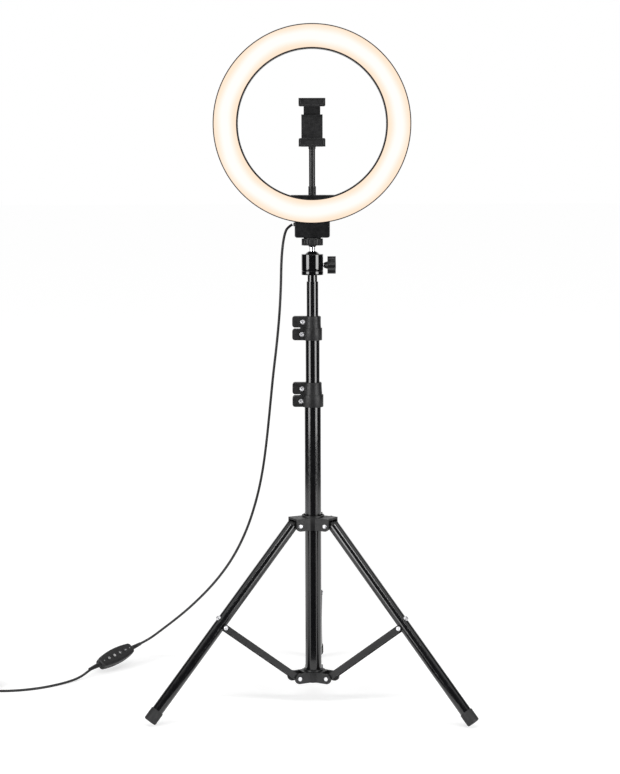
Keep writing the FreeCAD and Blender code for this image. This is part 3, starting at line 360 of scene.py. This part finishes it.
def make_glow(name, middle, edge, strength):
    """The lit cover: white in the middle of its band and warm at both rims."""
    material, tree, shader, coords = new_material(name)
    mapping = tree.nodes.new("ShaderNodeMapping")
    mapping.inputs["Location"].default_value = -RING_CENTRE
    tree.links.new(coords, mapping.inputs["Vector"])
    flat = tree.nodes.new("ShaderNodeVectorMath")
    flat.operation = "MULTIPLY"
    flat.inputs[1].default_value = (1, 0, 1)
    tree.links.new(mapping.outputs["Vector"], flat.inputs[0])
    radius = tree.nodes.new("ShaderNodeVectorMath")
    radius.operation = "LENGTH"
    tree.links.new(flat.outputs["Vector"], radius.inputs[0])
    ramp = tree.nodes.new("ShaderNodeMapRange")
    ramp.inputs["From Min"].default_value = COVER_RIMS[0]
    ramp.inputs["From Max"].default_value = COVER_RIMS[1]
    tree.links.new(radius.outputs["Value"], ramp.inputs["Value"])
    drift = tree.nodes.new("ShaderNodeMath")
    drift.operation = "ADD"
    tree.links.new(ramp.outputs["Result"], drift.inputs[0])
    patches = noise(tree, coords, GLOW_DRIFT_SCALE, 1.0)
    tree.links.new(spread(tree, patches, -GLOW_DRIFT, GLOW_DRIFT), drift.inputs[1])
    band = tree.nodes.new("ShaderNodeValToRGB")
    band.color_ramp.interpolation = "EASE"
    stops = band.color_ramp.elements
    stops[0].position, stops[0].color = WARM_STOPS[0], (*edge, 1)
    stops[1].position, stops[1].color = WARM_STOPS[1], (*edge, 1)
    for position in WHITE_STOPS:
        stop = stops.new(position)
        stop.color = (*middle, 1)
    tree.links.new(drift.outputs["Value"], band.inputs["Fac"])
    shader.inputs["Base Color"].default_value = (0.04, 0.037, 0.034, 1)
    shader.inputs["Roughness"].default_value = 0.5
    shader.inputs["Specular IOR Level"].default_value = 0.1
    tree.links.new(band.outputs["Color"], shader.inputs["Emission Color"])
    shader.inputs["Emission Strength"].default_value = strength
    return material


FINISHES = {}


class RINGLIGHT_OT_finishes(bpy.types.Operator):
    """Makes every finish"""

    bl_idname = "ringlight.finishes"
    bl_label = "Finishes"

    def execute(self, context):
        tint, size = colours(), sizes()
        plastic, paint, steel = tuple(tint.plastic), tuple(tint.paint), tuple(tint.steel)
        FINISHES.update(
            plastic=make_finish("textured plastic", plastic, 0.46, depth=0.00005, grain=1400,
                                specular=0.38),
            shell=make_finish("satin shell", (0.006, 0.006, 0.0065), 0.36, depth=0.00002,
                              specular=0.35),
            paint=make_finish("gloss paint", paint, 0.15, coat=0.3, grain=500, depth=0.00001,
                              mottle=0.1, rough_spread=0.03),
            brace=make_finish("brace paint", (0.008, 0.008, 0.0085), 0.4, grain=700,
                              depth=0.00003, specular=0.4),
            gloss=make_finish("gloss black", (0.003, 0.003, 0.0035), 0.09, coat=0.6,
                              depth=0.0, mottle=0.1, rough_spread=0.02),
            steel=make_finish("bright steel", steel, 0.36, metallic=0.8, grain=1500,
                              depth=0.00001, stretch=(1, 1, 6), rough_spread=0.08),
            felt=make_finish("dark felt", (0.01, 0.01, 0.01), 0.9, depth=0.0, specular=0.0),
            # Painted shade: a flat dark finish for the patches that stand in for the holes in the
            # plug's shell.
            socket=make_finish("oiled socket", (0.01, 0.01, 0.011), 0.4, specular=0.3,
                               depth=0.0),
            chrome=make_finish("plated stem", (0.72, 0.72, 0.74), 0.1, metallic=1.0,
                               depth=0.0, rough_spread=0.03),
            brass=make_finish("machined brass", (0.62, 0.42, 0.16), 0.28, metallic=1.0,
                              stretch=(1, 1, 8)),
            board=make_finish("lamp board", (0.7, 0.7, 0.66), 0.5),
            nylon=make_finish("nylon", (0.12, 0.12, 0.12), 0.45),
            rubber=make_finish("boot rubber", (0.012, 0.012, 0.0125), 0.6, grain=800,
                               depth=0.00006, specular=0.35),
            pad=make_finish("soft pad", (0.02, 0.02, 0.021), 0.75, grain=1800,
                            depth=0.00006, specular=0.3),
            lead=make_finish("lead jacket", (0.009, 0.009, 0.0095), 0.42, grain=900,
                             depth=0.00002, specular=0.4),
            button=make_finish("button", (0.022, 0.022, 0.023), 0.4, depth=0.00002,
                               specular=0.45),
            mark=make_finish("printed mark", (0.55, 0.55, 0.55), 0.5, depth=0.0),
            contact=make_finish("plated contact", (0.83, 0.62, 0.25), 0.2, metallic=1.0,
                                depth=0.0),
            white=make_finish("white plastic", (0.75, 0.75, 0.73), 0.4, depth=0.00001),
            glow=make_glow("lit cover", tuple(tint.glow_middle), tuple(tint.glow_edge),
                           size.glow),
        )
        return {"FINISHED"}


NODE_FINISHES = {
    "shell": ["ring_shell", "base_block", "phone_rod", "ball_lock_knob"],
    "plastic": [
        "upper_collar", "lower_collar", "upper_cam_lever", "lower_cam_lever", "leg_hub",
        "strut_hub", "hub_lock_knob", "lock_wheel", "clamp_body",
        "clamp_upper_jaw", "leg_plug_rear", "leg_plug_left", "leg_plug_right",
        "controller_front", "controller_back",
    ],
    "paint": [
        "lower_tube", "middle_tube", "upper_tube", "leg_tube_rear", "leg_tube_left",
        "leg_tube_right",
    ],
    "brace": ["strut_rear", "strut_left", "strut_right"],
    "gloss": ["ball_head_housing", "head_ball", "top_spigot"],
    "steel": [
        "ring_screws", "upper_collar_bolts", "lower_collar_bolts", "upper_collar_nuts",
        "lower_collar_nuts", "hub_rivets", "strut_hub_rivets", "leg_rivets_rear",
        "leg_rivets_left", "leg_rivets_right", "ball_lock_screw",
    ],
    "chrome": ["stem_stud"],
    "brass": ["thread_insert"],
    "board": ["led_board"],
    "nylon": ["ball_cup", "middle_tube_bush", "upper_tube_bush"],
    "rubber": ["foot_boot_rear", "foot_boot_left", "foot_boot_right"],
    "lead": ["cable_tube", "cable_coil", "cable_gland"],
    "button": ["button_power", "button_colour", "button_brighter", "button_dimmer"],
    "glow": ["ring_diffuser"],
}


# How much rounder than the rest these parts' edges are.
EDGE_SHARES = {"lock_wheel": 1.3, "ball_lock_knob": 1.7, "hub_lock_knob": 1.6}


class RINGLIGHT_OT_frame_parts(bpy.types.Operator):
    """Finishes the frame's own parts and eases their moulded edges"""

    bl_idname = "ringlight.frame_parts"
    bl_label = "Frame Parts"

    def execute(self, context):
        for finish, nodes in NODE_FINISHES.items():
            for node in nodes:
                dress_node(node, FINISHES[finish])
        edge = sizes().edge
        for node in NODE_FINISHES["plastic"] + ["base_block", "ball_lock_knob"]:
            ease(node, edge * EDGE_SHARES.get(node, 1.0))
        for node in NODE_FINISHES["rubber"] + ["ball_head_housing"]:
            ease(node, edge * 0.5)
        for node in NODE_FINISHES["steel"]:
            ease(node, edge, segments=4)
        return {"FINISHED"}


# ---- the lead ----

LEAD_ROUTE = [
    (-0.0263, 0.01415, 0.6470), (-0.0332, 0.01415, 0.6430), (-0.0369, 0.0142, 0.6337),
    (-0.0396, 0.0145, 0.6180), (-0.0413, 0.0149, 0.5970), (-0.0420, 0.0153, 0.5650),
    (-0.0439, 0.0170, 0.5290), (-0.0480, 0.0215, 0.4860), (-0.0534, 0.0270, 0.4430),
    (-0.0579, 0.0317, 0.3980), (-0.0626, 0.0367, 0.3530), (-0.0686, 0.0430, 0.3090),
    (-0.0776, 0.0525, 0.2680), (-0.0915, 0.0670, 0.2240), (-0.1120, 0.0885, 0.1800),
    (-0.1395, 0.1175, 0.1386), (-0.1707, 0.1501, 0.1015), (-0.1960, 0.1770, 0.0750),
    (-0.2220, 0.2045, 0.0500), (-0.2385, 0.2205, 0.0345), (-0.2568, 0.2156, 0.02555),
    (-0.27343, 0.19342, 0.0216), (-0.29957, 0.15858, 0.0154), (-0.3162, 0.1364, 0.01145),
    (-0.3305, 0.1170, 0.0032), (-0.3510, 0.0920, 0.00176), (-0.3800, 0.0670, 0.00176),
    (-0.4130, 0.0535, 0.00176), (-0.4440, 0.0525, 0.00176), (-0.4660, 0.0590, 0.0020),
]
COIL_CENTRE = Vector((-0.466, 0.079, 0.0))
# Radius and height of each turn of the coil, from the first laid to the last, in millimetres.
COIL_TURNS = [
    (23.6, 1.8), (20.0, 1.8), (16.4, 1.8), (16.4, 5.3), (20.0, 5.3), (16.4, 8.8),
    (20.0, 8.8), (23.6, 8.8), (23.6, 5.3),
]
TURN_POINTS = 16


EASE_FROM = 0.66
CLOSING_POINTS = 3
LEAD_END = [(-0.4892, 0.080, 0.0048), (-0.4868, 0.087, 0.0042), (-0.486, 0.094, 0.0039)]


def smooth_step(t):
    """Eases from 0 to 1."""
    return t * t * (3 - 2 * t)


def coil_point(step, radius, height):
    """A control point of the coil, for a turn of a radius at a height, both in metres."""
    reach = radius / math.cos(math.pi / TURN_POINTS)
    angle = -math.pi / 2 - math.tau * (step + 1) / TURN_POINTS
    return COIL_CENTRE + Vector((reach * math.cos(angle), reach * math.sin(angle), height))


def coil_points():
    """The coil's turns, wound clockwise, each easing into the next over its last third."""
    points = []
    for turn, (radius, height) in enumerate(COIL_TURNS):
        next_radius, next_height = COIL_TURNS[min(turn + 1, len(COIL_TURNS) - 1)]
        for step in range(TURN_POINTS):
            change = smooth_step(max(0.0, (step / TURN_POINTS - EASE_FROM) / (1 - EASE_FROM)))
            points.append(coil_point(step, (radius + (next_radius - radius) * change) * MM,
                                     (height + (next_height - height) * change) * MM))
    last_radius, last_height = COIL_TURNS[-1]
    for step in range(CLOSING_POINTS):
        points.append(coil_point(step, last_radius * MM, last_height * MM))
    return points + [Vector(point) for point in LEAD_END]


def nurbs(name, points, depth):
    """A smooth round curve through space."""
    curve = bpy.data.curves.new(name, "CURVE")
    curve.dimensions = "3D"
    spline = curve.splines.new("NURBS")
    spline.points.add(len(points) - 1)
    for target, point in zip(spline.points, points):
        target.co = (*point, 1.0)
    spline.order_u = 3
    spline.use_endpoint_u = True
    spline.resolution_u = 8
    curve.bevel_depth = depth
    curve.bevel_resolution = 5
    curve.use_fill_caps = True
    piece = bpy.data.objects.new(name, curve)
    bpy.context.scene.collection.objects.link(piece)
    return piece


CONTROL_AT = Vector((-0.2865, 0.176, 0.0185))
CONTROL_ALONG = Vector((0.594, 0.792, 0.141)).normalized()
CONTROL_SIDE = CONTROL_ALONG.cross(Vector((0, 0, 1))).normalized()
CONTROL_OUT = (CONTROL_SIDE.cross(CONTROL_ALONG) + CONTROL_SIDE).normalized()
CONTROL_TURN = Matrix(
    (CONTROL_ALONG, CONTROL_OUT.cross(CONTROL_ALONG), CONTROL_OUT)
).transposed().to_euler()
CONTROL_HALF = 0.0331
FACE_HEIGHT = 0.0065
CAP_HEIGHT = 0.0070
BUTTON_PITCH = 0.0116
PRINT = 0.00009
END_DOT_AT = 0.0272


def on_controller(along, height):
    """A place on the controller's middle line."""
    return CONTROL_AT + CONTROL_TURN.to_matrix() @ Vector((along, 0.0, height))


def print_bar(length, width, along, height=CAP_HEIGHT):
    """A printed bar on the controller."""
    return rounded_block("bar", (length, width, PRINT),
                         on_controller(along, height + PRINT / 2), CONTROL_TURN,
                         width=PRINT / 4, segments=1)


def print_ring(outer, inner, along, height=CAP_HEIGHT):
    """A printed ring, or a dot where it has no inner radius, on the controller."""
    if inner:
        profile, closed = [(inner, 0), (outer, 0), (outer, PRINT), (inner, PRINT)], True
    else:
        profile, closed = [(0, 0), (outer, 0), (outer, PRINT), (0, PRINT)], False
    return lathe("ring", profile, on_controller(along, height), CONTROL_TURN, steps=24,
                 closed=closed)


def controller_marks():
    """The plain signs on the four buttons and a dot at each end of the face."""
    power, colour, brighter, dimmer = (BUTTON_PITCH * (step - 1.5) for step in range(4))
    signs = {
        "key_power": [print_ring(0.0016, 0.0011, power),
                      print_bar(0.0022, 0.0005, power + 0.001)],
        "key_colour": [print_ring(0.0007, 0, colour), print_ring(0.0018, 0.0013, colour)],
        "key_brighter": [print_bar(0.0034, 0.0008, brighter),
                         print_bar(0.0008, 0.0034, brighter)],
        "key_dimmer": [print_bar(0.0034, 0.0009, dimmer)],
        "stand": [print_ring(0.00055, 0, side * END_DOT_AT, FACE_HEIGHT) for side in (-1, 1)],
    }
    marks = []
    for body, prints in signs.items():
        mark = joined(f"sign_{body}", prints)
        dress(mark, FINISHES["mark"])
        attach(mark, body)
        marks.append(mark)
    return marks


PLUG_AXIS = Vector((-0.486, 0.0, 0.0039))
GRIP_SIZE = (0.012, 0.022, 0.0076)
GRIP_TAPER = (0.55, 1, 0.7)
RIB_SIZE = (0.0124, 0.0011, 0.0060)
RIB_PITCH = 0.0022
SHELL_SIZE = (0.012, 0.012, 0.0045)
SHELL_WALL = 0.0003
SHELL_DEPTH = 0.009
TONGUE_SIZE = (0.0112, 0.0085, 0.0018)
CONTACT_SIZE = (0.0012, 0.0074, 0.00016)
CONTACT_PITCH = 0.0023
WINDOW_SIZE = (0.0022, 0.0022, 0.0001)


def on_plug(along, across=0.0, height=0.0):
    """A place on the plug, measured from its axis."""
    return PLUG_AXIS + Vector((across, along, height))


def plug():
    """The flat metal plug and its moulded grip."""
    grip = start_block(GRIP_SIZE)
    pick_faces(grip, lambda face: face.normal.y < -0.9)
    bpy.ops.transform.resize(value=GRIP_TAPER)
    bpy.ops.object.mode_set(mode="OBJECT")
    round_off(grip, 0.0012, 3)
    grip = place("plug_grip", on_plug(0.105))
    ribs = [
        rounded_block("rib", RIB_SIZE, on_plug(0.106 + RIB_PITCH * n), width=0.0004, segments=2)
        for n in range(4)
    ]
    grip = joined("plug_grip", [grip, *ribs])
    shell = start_block(SHELL_SIZE)
    pick_faces(shell, lambda face: face.normal.y > 0.9)
    bpy.ops.mesh.inset(thickness=SHELL_WALL)
    bpy.ops.mesh.extrude_region_move(TRANSFORM_OT_translate={"value": (0, -SHELL_DEPTH, 0)})
    bpy.ops.object.mode_set(mode="OBJECT")
    round_off(shell, 0.0002, 2)
    shell = place("plug_shell", on_plug(0.1216))
    tongue = rounded_block("plug_tongue", TONGUE_SIZE, on_plug(0.1225, height=0.0009),
                           width=0.0002)
    contacts = joined("plug_contacts", [
        rounded_block("strip", CONTACT_SIZE, on_plug(0.1226, CONTACT_PITCH * (n - 1.5), -0.00005),
                      width=0.00005)
        for n in range(4)
    ])
    # The windows are thin dark patches laid on the shell: painted shade where the real shell has
    # holes.
    windows = joined("plug_window_shade", [
        rounded_block("window", WINDOW_SIZE, on_plug(0.1228, side * 0.0026, 0.00226),
                      width=0.00003)
        for side in (-1, 1)
    ])
    pieces = {grip: "plastic", shell: "steel", tongue: "white", contacts: "contact",
              windows: "socket"}
    for piece, finish in pieces.items():
        dress(piece, FINISHES[finish])
        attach(piece, "stand")
    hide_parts("usb_plug")
    return list(pieces)


RELIEF_RINGS = 6
RELIEF_COLLAR = 0.18
RELIEF_RINGED = 0.8
RING_SHARE = 0.6
GROOVE_SHARE = 0.88


def strain_relief(name, at, axis, length, wide, narrow):
    """A tapered sleeve with moulded rings, pointing along the lead."""
    profile = [(0.0, 0.0), (wide, 0.0)]
    for ring in range(RELIEF_RINGS):
        start, stop, following = (
            length * (RELIEF_COLLAR + RELIEF_RINGED * (ring + share) / RELIEF_RINGS)
            for share in (0.0, RING_SHARE, 1.0)
        )
        radius = wide + (narrow - wide) * (start / length)
        groove = radius * GROOVE_SHARE
        profile += [(radius, start), (radius, stop), (groove, stop), (groove, following)]
    profile += [(narrow, length), (0.0, length)]
    piece = lathe(name, profile, at, facing(axis), steps=32)
    dress(piece, FINISHES["lead"])
    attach(piece, "stand")
    return piece


STRAP_SIZE = (0.008, 0.0122, 0.0107)
STRAP_THICKNESS = 0.0004
STRAP_AT = Vector((0.0, 0.0200, 0.00545))


def coil_strap():
    """The soft strap round one side of the coil."""
    strap = start_block(STRAP_SIZE)
    pick_faces(strap, lambda face: abs(face.normal.x) > 0.9)
    bpy.ops.mesh.delete(type="FACE")
    bpy.ops.object.mode_set(mode="OBJECT")
    apply_modifier(strap, "BEVEL", width=0.0022, segments=4, limit_method="ANGLE")
    apply_modifier(strap, "SOLIDIFY", thickness=STRAP_THICKNESS, offset=-1.0)
    strap = place("coil_tie", COIL_CENTRE + STRAP_AT)
    dress(strap, FINISHES["pad"])
    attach(strap, "stand")
    return strap


# Name, direction along the controller and radius of each sleeve where it starts.
RELIEFS = (
    ("relief_upper", CONTROL_ALONG, 0.0034),
    ("relief_lower", -CONTROL_ALONG, 0.0036),
)
RELIEF_TIP = 0.0023


class RINGLIGHT_OT_lead(bpy.types.Operator):
    """Lays the lead, its coil, its strap and its strain reliefs"""

    bl_idname = "ringlight.lead"
    bl_label = "Lead"

    def execute(self, context):
        size = sizes()
        points = [Vector(point) for point in LEAD_ROUTE] + coil_points()
        lead = nurbs("lead", points, size.lead / 2)
        dress(lead, FINISHES["lead"])
        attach(lead, "stand")
        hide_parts("cable_tube", "cable_coil")
        reliefs = [
            strain_relief(name, CONTROL_AT + way * CONTROL_HALF, way, size.relief, wide,
                          RELIEF_TIP)
            for name, way, wide in RELIEFS
        ]
        coil_strap()
        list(plug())
        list(controller_marks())
        return {"FINISHED"}


# ---- the lamp ----


# Radius, and height from the front of the ring, round the shell's section.
SHELL_SECTION = [
    (0.0975, -0.0004), (0.0979, 0.0), (0.0990, 0.0), (0.0994, -0.0004), (0.0994, -0.0170),
    (0.1015, -0.0204), (0.1270, -0.0204), (0.1288, -0.0170), (0.1288, -0.0004), (0.1291, 0.0),
    (0.1296, 0.0), (0.1300, -0.0004), (0.1300, -0.0190), (0.1295, -0.0203), (0.1284, -0.0213),
    (0.1270, -0.0219), (0.1262, -0.0220), (0.1013, -0.0220), (0.1003, -0.0218),
    (0.0990, -0.0211), (0.0980, -0.0200), (0.0975, -0.0187),
]
RING_HALF_DEPTH = 0.011
RING_STEPS = 240
COVER_INNER, COVER_OUTER = 0.0995, 0.1287
COVER_THICKNESS = 0.0013
COVER_EDGE = -0.0011
COVER_RISE = 0.0017
COVER_FULLNESS = 0.7
COVER_STEPS = 14


def cover_section():
    """The lit cover's section: a shallow dome and its back."""
    dome = []
    for step in range(COVER_STEPS + 1):
        share = step / COVER_STEPS
        rise = COVER_RISE * (1 - (2 * share - 1) ** 2) ** COVER_FULLNESS
        dome.append((COVER_INNER + (COVER_OUTER - COVER_INNER) * share, COVER_EDGE + rise))
    return dome + [(radius, height - COVER_THICKNESS) for radius, height in reversed(dome)]


class RINGLIGHT_OT_lamp(bpy.types.Operator):
    """Turns the lamp's shell and its lit cover"""

    bl_idname = "ringlight.lamp"
    bl_label = "Lamp"

    def execute(self, context):
        front = RING_CENTRE + TOWARDS_VIEWER * RING_HALF_DEPTH
        for name, section, finish, slot, node in (
            ("lamp_shell", SHELL_SECTION, "shell", "black_shell", "ring_shell"),
            ("lit_cover", cover_section(), "glow", "lit_cover", "ring_diffuser"),
        ):
            piece = lathe(name, section, front, facing(TOWARDS_VIEWER), steps=RING_STEPS,
                          closed=True)
            dress(piece, FINISHES[finish])
            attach(piece, "lamp")
            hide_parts(node)
        return {"FINISHED"}


# ---- the phone clamp ----

PAD_SIZE = (0.029, 0.0130, 0.0006)
PAD_RIB_SIZE = (0.0014, 0.0126, 0.0009)
PAD_RIBS = 11
PAD_RIB_PITCH = 0.0026
PAD_ROUNDING = 0.0002
PAD_FRONT = -0.0060
PAD_LIFT = 0.0004
JAW_THICKNESS = 0.003


def ribbed_pad(name, at, body):
    """A thin rubber pad with ribs across it."""
    pads = [rounded_block(name, PAD_SIZE, at, width=PAD_ROUNDING)]
    for rib in range(PAD_RIBS):
        across = PAD_RIB_PITCH * (rib - PAD_RIBS // 2)
        pads.append(rounded_block("rib", PAD_RIB_SIZE, at + Vector((across, 0, 0)),
                                  width=PAD_ROUNDING))
    pad = joined(name, pads)
    dress(pad, FINISHES["pad"])
    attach(pad, body)


class RINGLIGHT_OT_clamp_pads(bpy.types.Operator):
    """Lines both jaws of the phone clamp with ribbed pads"""

    bl_idname = "ringlight.clamp_pads"
    bl_label = "Clamp Pads"

    def execute(self, context):
        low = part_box("clamp_body")[0].z + JAW_THICKNESS + PAD_LIFT
        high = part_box("clamp_upper_jaw")[1].z - JAW_THICKNESS - PAD_LIFT
        ribbed_pad("pad_lower", Vector((0, PAD_FRONT, low)), "phone_mount")
        ribbed_pad("pad_upper", Vector((0, PAD_FRONT, high)), "phone_jaw")
        return {"FINISHED"}


# ---- the studio ----

FLOOR_SIZE = 40.0
FLOOR_AT = (0, 6.0, 0)
# How much the floor is brightened, near the stand and far from it, and where near and far are.
FLOOR_LIFT = (0.41, 0.63)
FLOOR_REACH = (0.4, 2.2)
WORLD_LIGHT = (0.45, 1.0)
LIGHT_TARGET = (0, 0, 0.45)
# Name, place, width, height and watts of each light.
LIGHTS = (
    ("left_box", (-1.75, -1.4, 0.66), 1.15, 1.4, 38),
    ("right_box", (1.75, -1.4, 0.66), 1.15, 1.4, 38),
    ("top_box", (0.0, -2.1, 2.45), 1.9, 0.3, 24),
)
# Name, first corner, steps of the outline and degrees swept by each dark screen.
DARK_SCREENS = (
    ("dark_wall", (-2.4, 2.4, 3.25), [(0, 0, -3.22), (1.3, -1.3, 0)], 270),
    ("dark_floor", (-0.08, -0.105, 0.029), [(-0.92, -1.2, 0)], 75),
)
CAMERA_AT = (-0.0036, -2.6196, 0.7421)
CAMERA_TILT = 83.23
CAMERA_ROLL = -0.17
CAMERA_LENS = 91.97
CAMERA_SENSOR = 36.0
CAMERA_CLIP_END = 60.0

def area_light(name, at, width, height, watts):
    """A soft box turned towards the column."""
    light = bpy.data.lights.new(name, "AREA")
    light.shape = "RECTANGLE"
    light.size, light.size_y = width, height
    light.energy = watts
    lamp = bpy.data.objects.new(name, light)
    lamp.location = at
    lamp.rotation_euler = (Vector(LIGHT_TARGET) - Vector(at)).to_track_quat("-Z", "Y").to_euler()
    bpy.context.scene.collection.objects.link(lamp)


def seen_rays(tree):
    """One for rays that show the background: straight, mirrored or through glass."""
    path = tree.nodes.new("ShaderNodeLightPath")
    total = path.outputs["Is Camera Ray"]
    for kind in ("Is Glossy Ray", "Is Transmission Ray"):
        add = tree.nodes.new("ShaderNodeMath")
        add.operation = "MAXIMUM"
        tree.links.new(total, add.inputs[0])
        tree.links.new(path.outputs[kind], add.inputs[1])
        total = add.outputs["Value"]
    return total


def dark_screen(name, start, steps, degrees):
    """A dark screen, swept about the column, which only the reflections show."""
    start_point(start)
    for step in steps:
        bpy.ops.mesh.extrude_vertices_move(TRANSFORM_OT_translate={"value": step})
    bpy.ops.mesh.select_all(action="SELECT")
    bpy.ops.mesh.spin(steps=64, angle=-math.radians(degrees), center=(0, 0, 0), axis=(0, 0, 1))
    bpy.ops.object.mode_set(mode="OBJECT")
    screen = settle(name)
    dress(screen, FINISHES["felt"])
    screen.visible_camera = False
    screen.visible_diffuse = False
    screen.visible_shadow = False


def floor_material():
    """Pale matt paint, brightened for the rays that show the background."""
    material = bpy.data.materials.new("studio floor")
    material.use_nodes = True
    tree = material.node_tree
    shader = tree.nodes["Principled BSDF"]
    shader.inputs["Base Color"].default_value = (*colours().floor, 1)
    shader.inputs["Roughness"].default_value = 0.9
    shader.inputs["Specular IOR Level"].default_value = 0.0
    coords = tree.nodes.new("ShaderNodeTexCoord")
    distance = tree.nodes.new("ShaderNodeVectorMath")
    distance.operation = "LENGTH"
    tree.links.new(coords.outputs["Object"], distance.inputs[0])
    rise = tree.nodes.new("ShaderNodeMapRange")
    rise.inputs["From Min"].default_value = FLOOR_REACH[0]
    rise.inputs["From Max"].default_value = FLOOR_REACH[1]
    rise.inputs["To Min"].default_value = FLOOR_LIFT[0]
    rise.inputs["To Max"].default_value = FLOOR_LIFT[1]
    tree.links.new(distance.outputs["Value"], rise.inputs["Value"])
    amount = tree.nodes.new("ShaderNodeMath")
    amount.operation = "MULTIPLY"
    tree.links.new(seen_rays(tree), amount.inputs[0])
    tree.links.new(rise.outputs["Result"], amount.inputs[1])
    lift = tree.nodes.new("ShaderNodeEmission")
    lift.inputs["Color"].default_value = (1, 1, 1, 1)
    tree.links.new(amount.outputs["Value"], lift.inputs["Strength"])
    both = tree.nodes.new("ShaderNodeAddShader")
    tree.links.new(shader.outputs["BSDF"], both.inputs[0])
    tree.links.new(lift.outputs["Emission"], both.inputs[1])
    tree.links.new(both.outputs["Shader"], tree.nodes["Material Output"].inputs["Surface"])
    return material


def studio_world():
    """Even light all round, white where it is seen."""
    world = bpy.data.worlds.new("studio")
    world.use_nodes = True
    tree = world.node_tree
    dome = tree.nodes["Background"]
    dome.inputs["Color"].default_value = (1, 1, 1, 1)
    strength = tree.nodes.new("ShaderNodeMapRange")
    strength.inputs["To Min"].default_value = WORLD_LIGHT[0]
    strength.inputs["To Max"].default_value = WORLD_LIGHT[1]
    tree.links.new(seen_rays(tree), strength.inputs["Value"])
    tree.links.new(strength.outputs["Result"], dome.inputs["Strength"])
    return world


def studio_camera():
    """The camera in front of the stand, a little below the lamp's centre."""
    camera = bpy.data.cameras.new("camera")
    camera.lens = CAMERA_LENS
    camera.sensor_width = CAMERA_SENSOR
    camera.clip_end = CAMERA_CLIP_END
    viewer = bpy.data.objects.new("camera", camera)
    viewer.location = CAMERA_AT
    tilt = Matrix.Rotation(math.radians(CAMERA_TILT), 3, "X")
    roll = Matrix.Rotation(math.radians(CAMERA_ROLL), 3, "Z")
    viewer.rotation_euler = (tilt @ roll).to_euler()
    bpy.context.scene.collection.objects.link(viewer)
    return viewer


class RINGLIGHT_OT_stage(bpy.types.Operator):
    """Sets out the floor, the soft studio light and the camera"""

    bl_idname = "ringlight.stage"
    bl_label = "Stage"

    def execute(self, context):
        scene = context.scene
        scene.view_settings.view_transform = "Standard"
        deselect()
        bpy.ops.mesh.primitive_plane_add(size=FLOOR_SIZE, location=FLOOR_AT)
        floor = settle("floor")
        dress(floor, floor_material())
        scene.world = studio_world()
        for light in LIGHTS:
            area_light(*light)
        for screen in DARK_SCREENS:
            dark_screen(*screen)
        scene.camera = studio_camera()
        return {"FINISHED"}


STEPS = (
    RINGLIGHT_OT_finishes,
    RINGLIGHT_OT_frame_parts,
    RINGLIGHT_OT_lamp,
    RINGLIGHT_OT_lead,
    RINGLIGHT_OT_clamp_pads,
    RINGLIGHT_OT_stage,
)


class RINGLIGHT_PT_panel(bpy.types.Panel):
    """Lists the steps that build the ring light"""

    bl_idname = "RINGLIGHT_PT_panel"
    bl_label = "Ring Light"
    bl_space_type = "VIEW_3D"
    bl_region_type = "UI"
    bl_category = "Ring Light"

    def draw(self, context):
        for step in STEPS:
            self.layout.operator(step.bl_idname)
        for group in (colours(), sizes()):
            for name in group.bl_rna.properties.keys():
                if name not in ("rna_type", "name"):
                    self.layout.prop(group, name)


CLASSES = (RingLightColours, RingLightSizes, *STEPS, RINGLIGHT_PT_panel)


def register():
    for item in CLASSES:
        bpy.utils.register_class(item)
    bpy.types.Scene.ring_light_colours = PointerProperty(type=RingLightColours)
    bpy.types.Scene.ring_light_sizes = PointerProperty(type=RingLightSizes)


def unregister():
    del bpy.types.Scene.ring_light_sizes
    del bpy.types.Scene.ring_light_colours
    for item in reversed(CLASSES):
        bpy.utils.unregister_class(item)


def main():
    register()
    for step in STEPS:
        group, name = step.bl_idname.split(".")
        getattr(getattr(bpy.ops, group), name)()


if __name__ == "__main__":
    main()
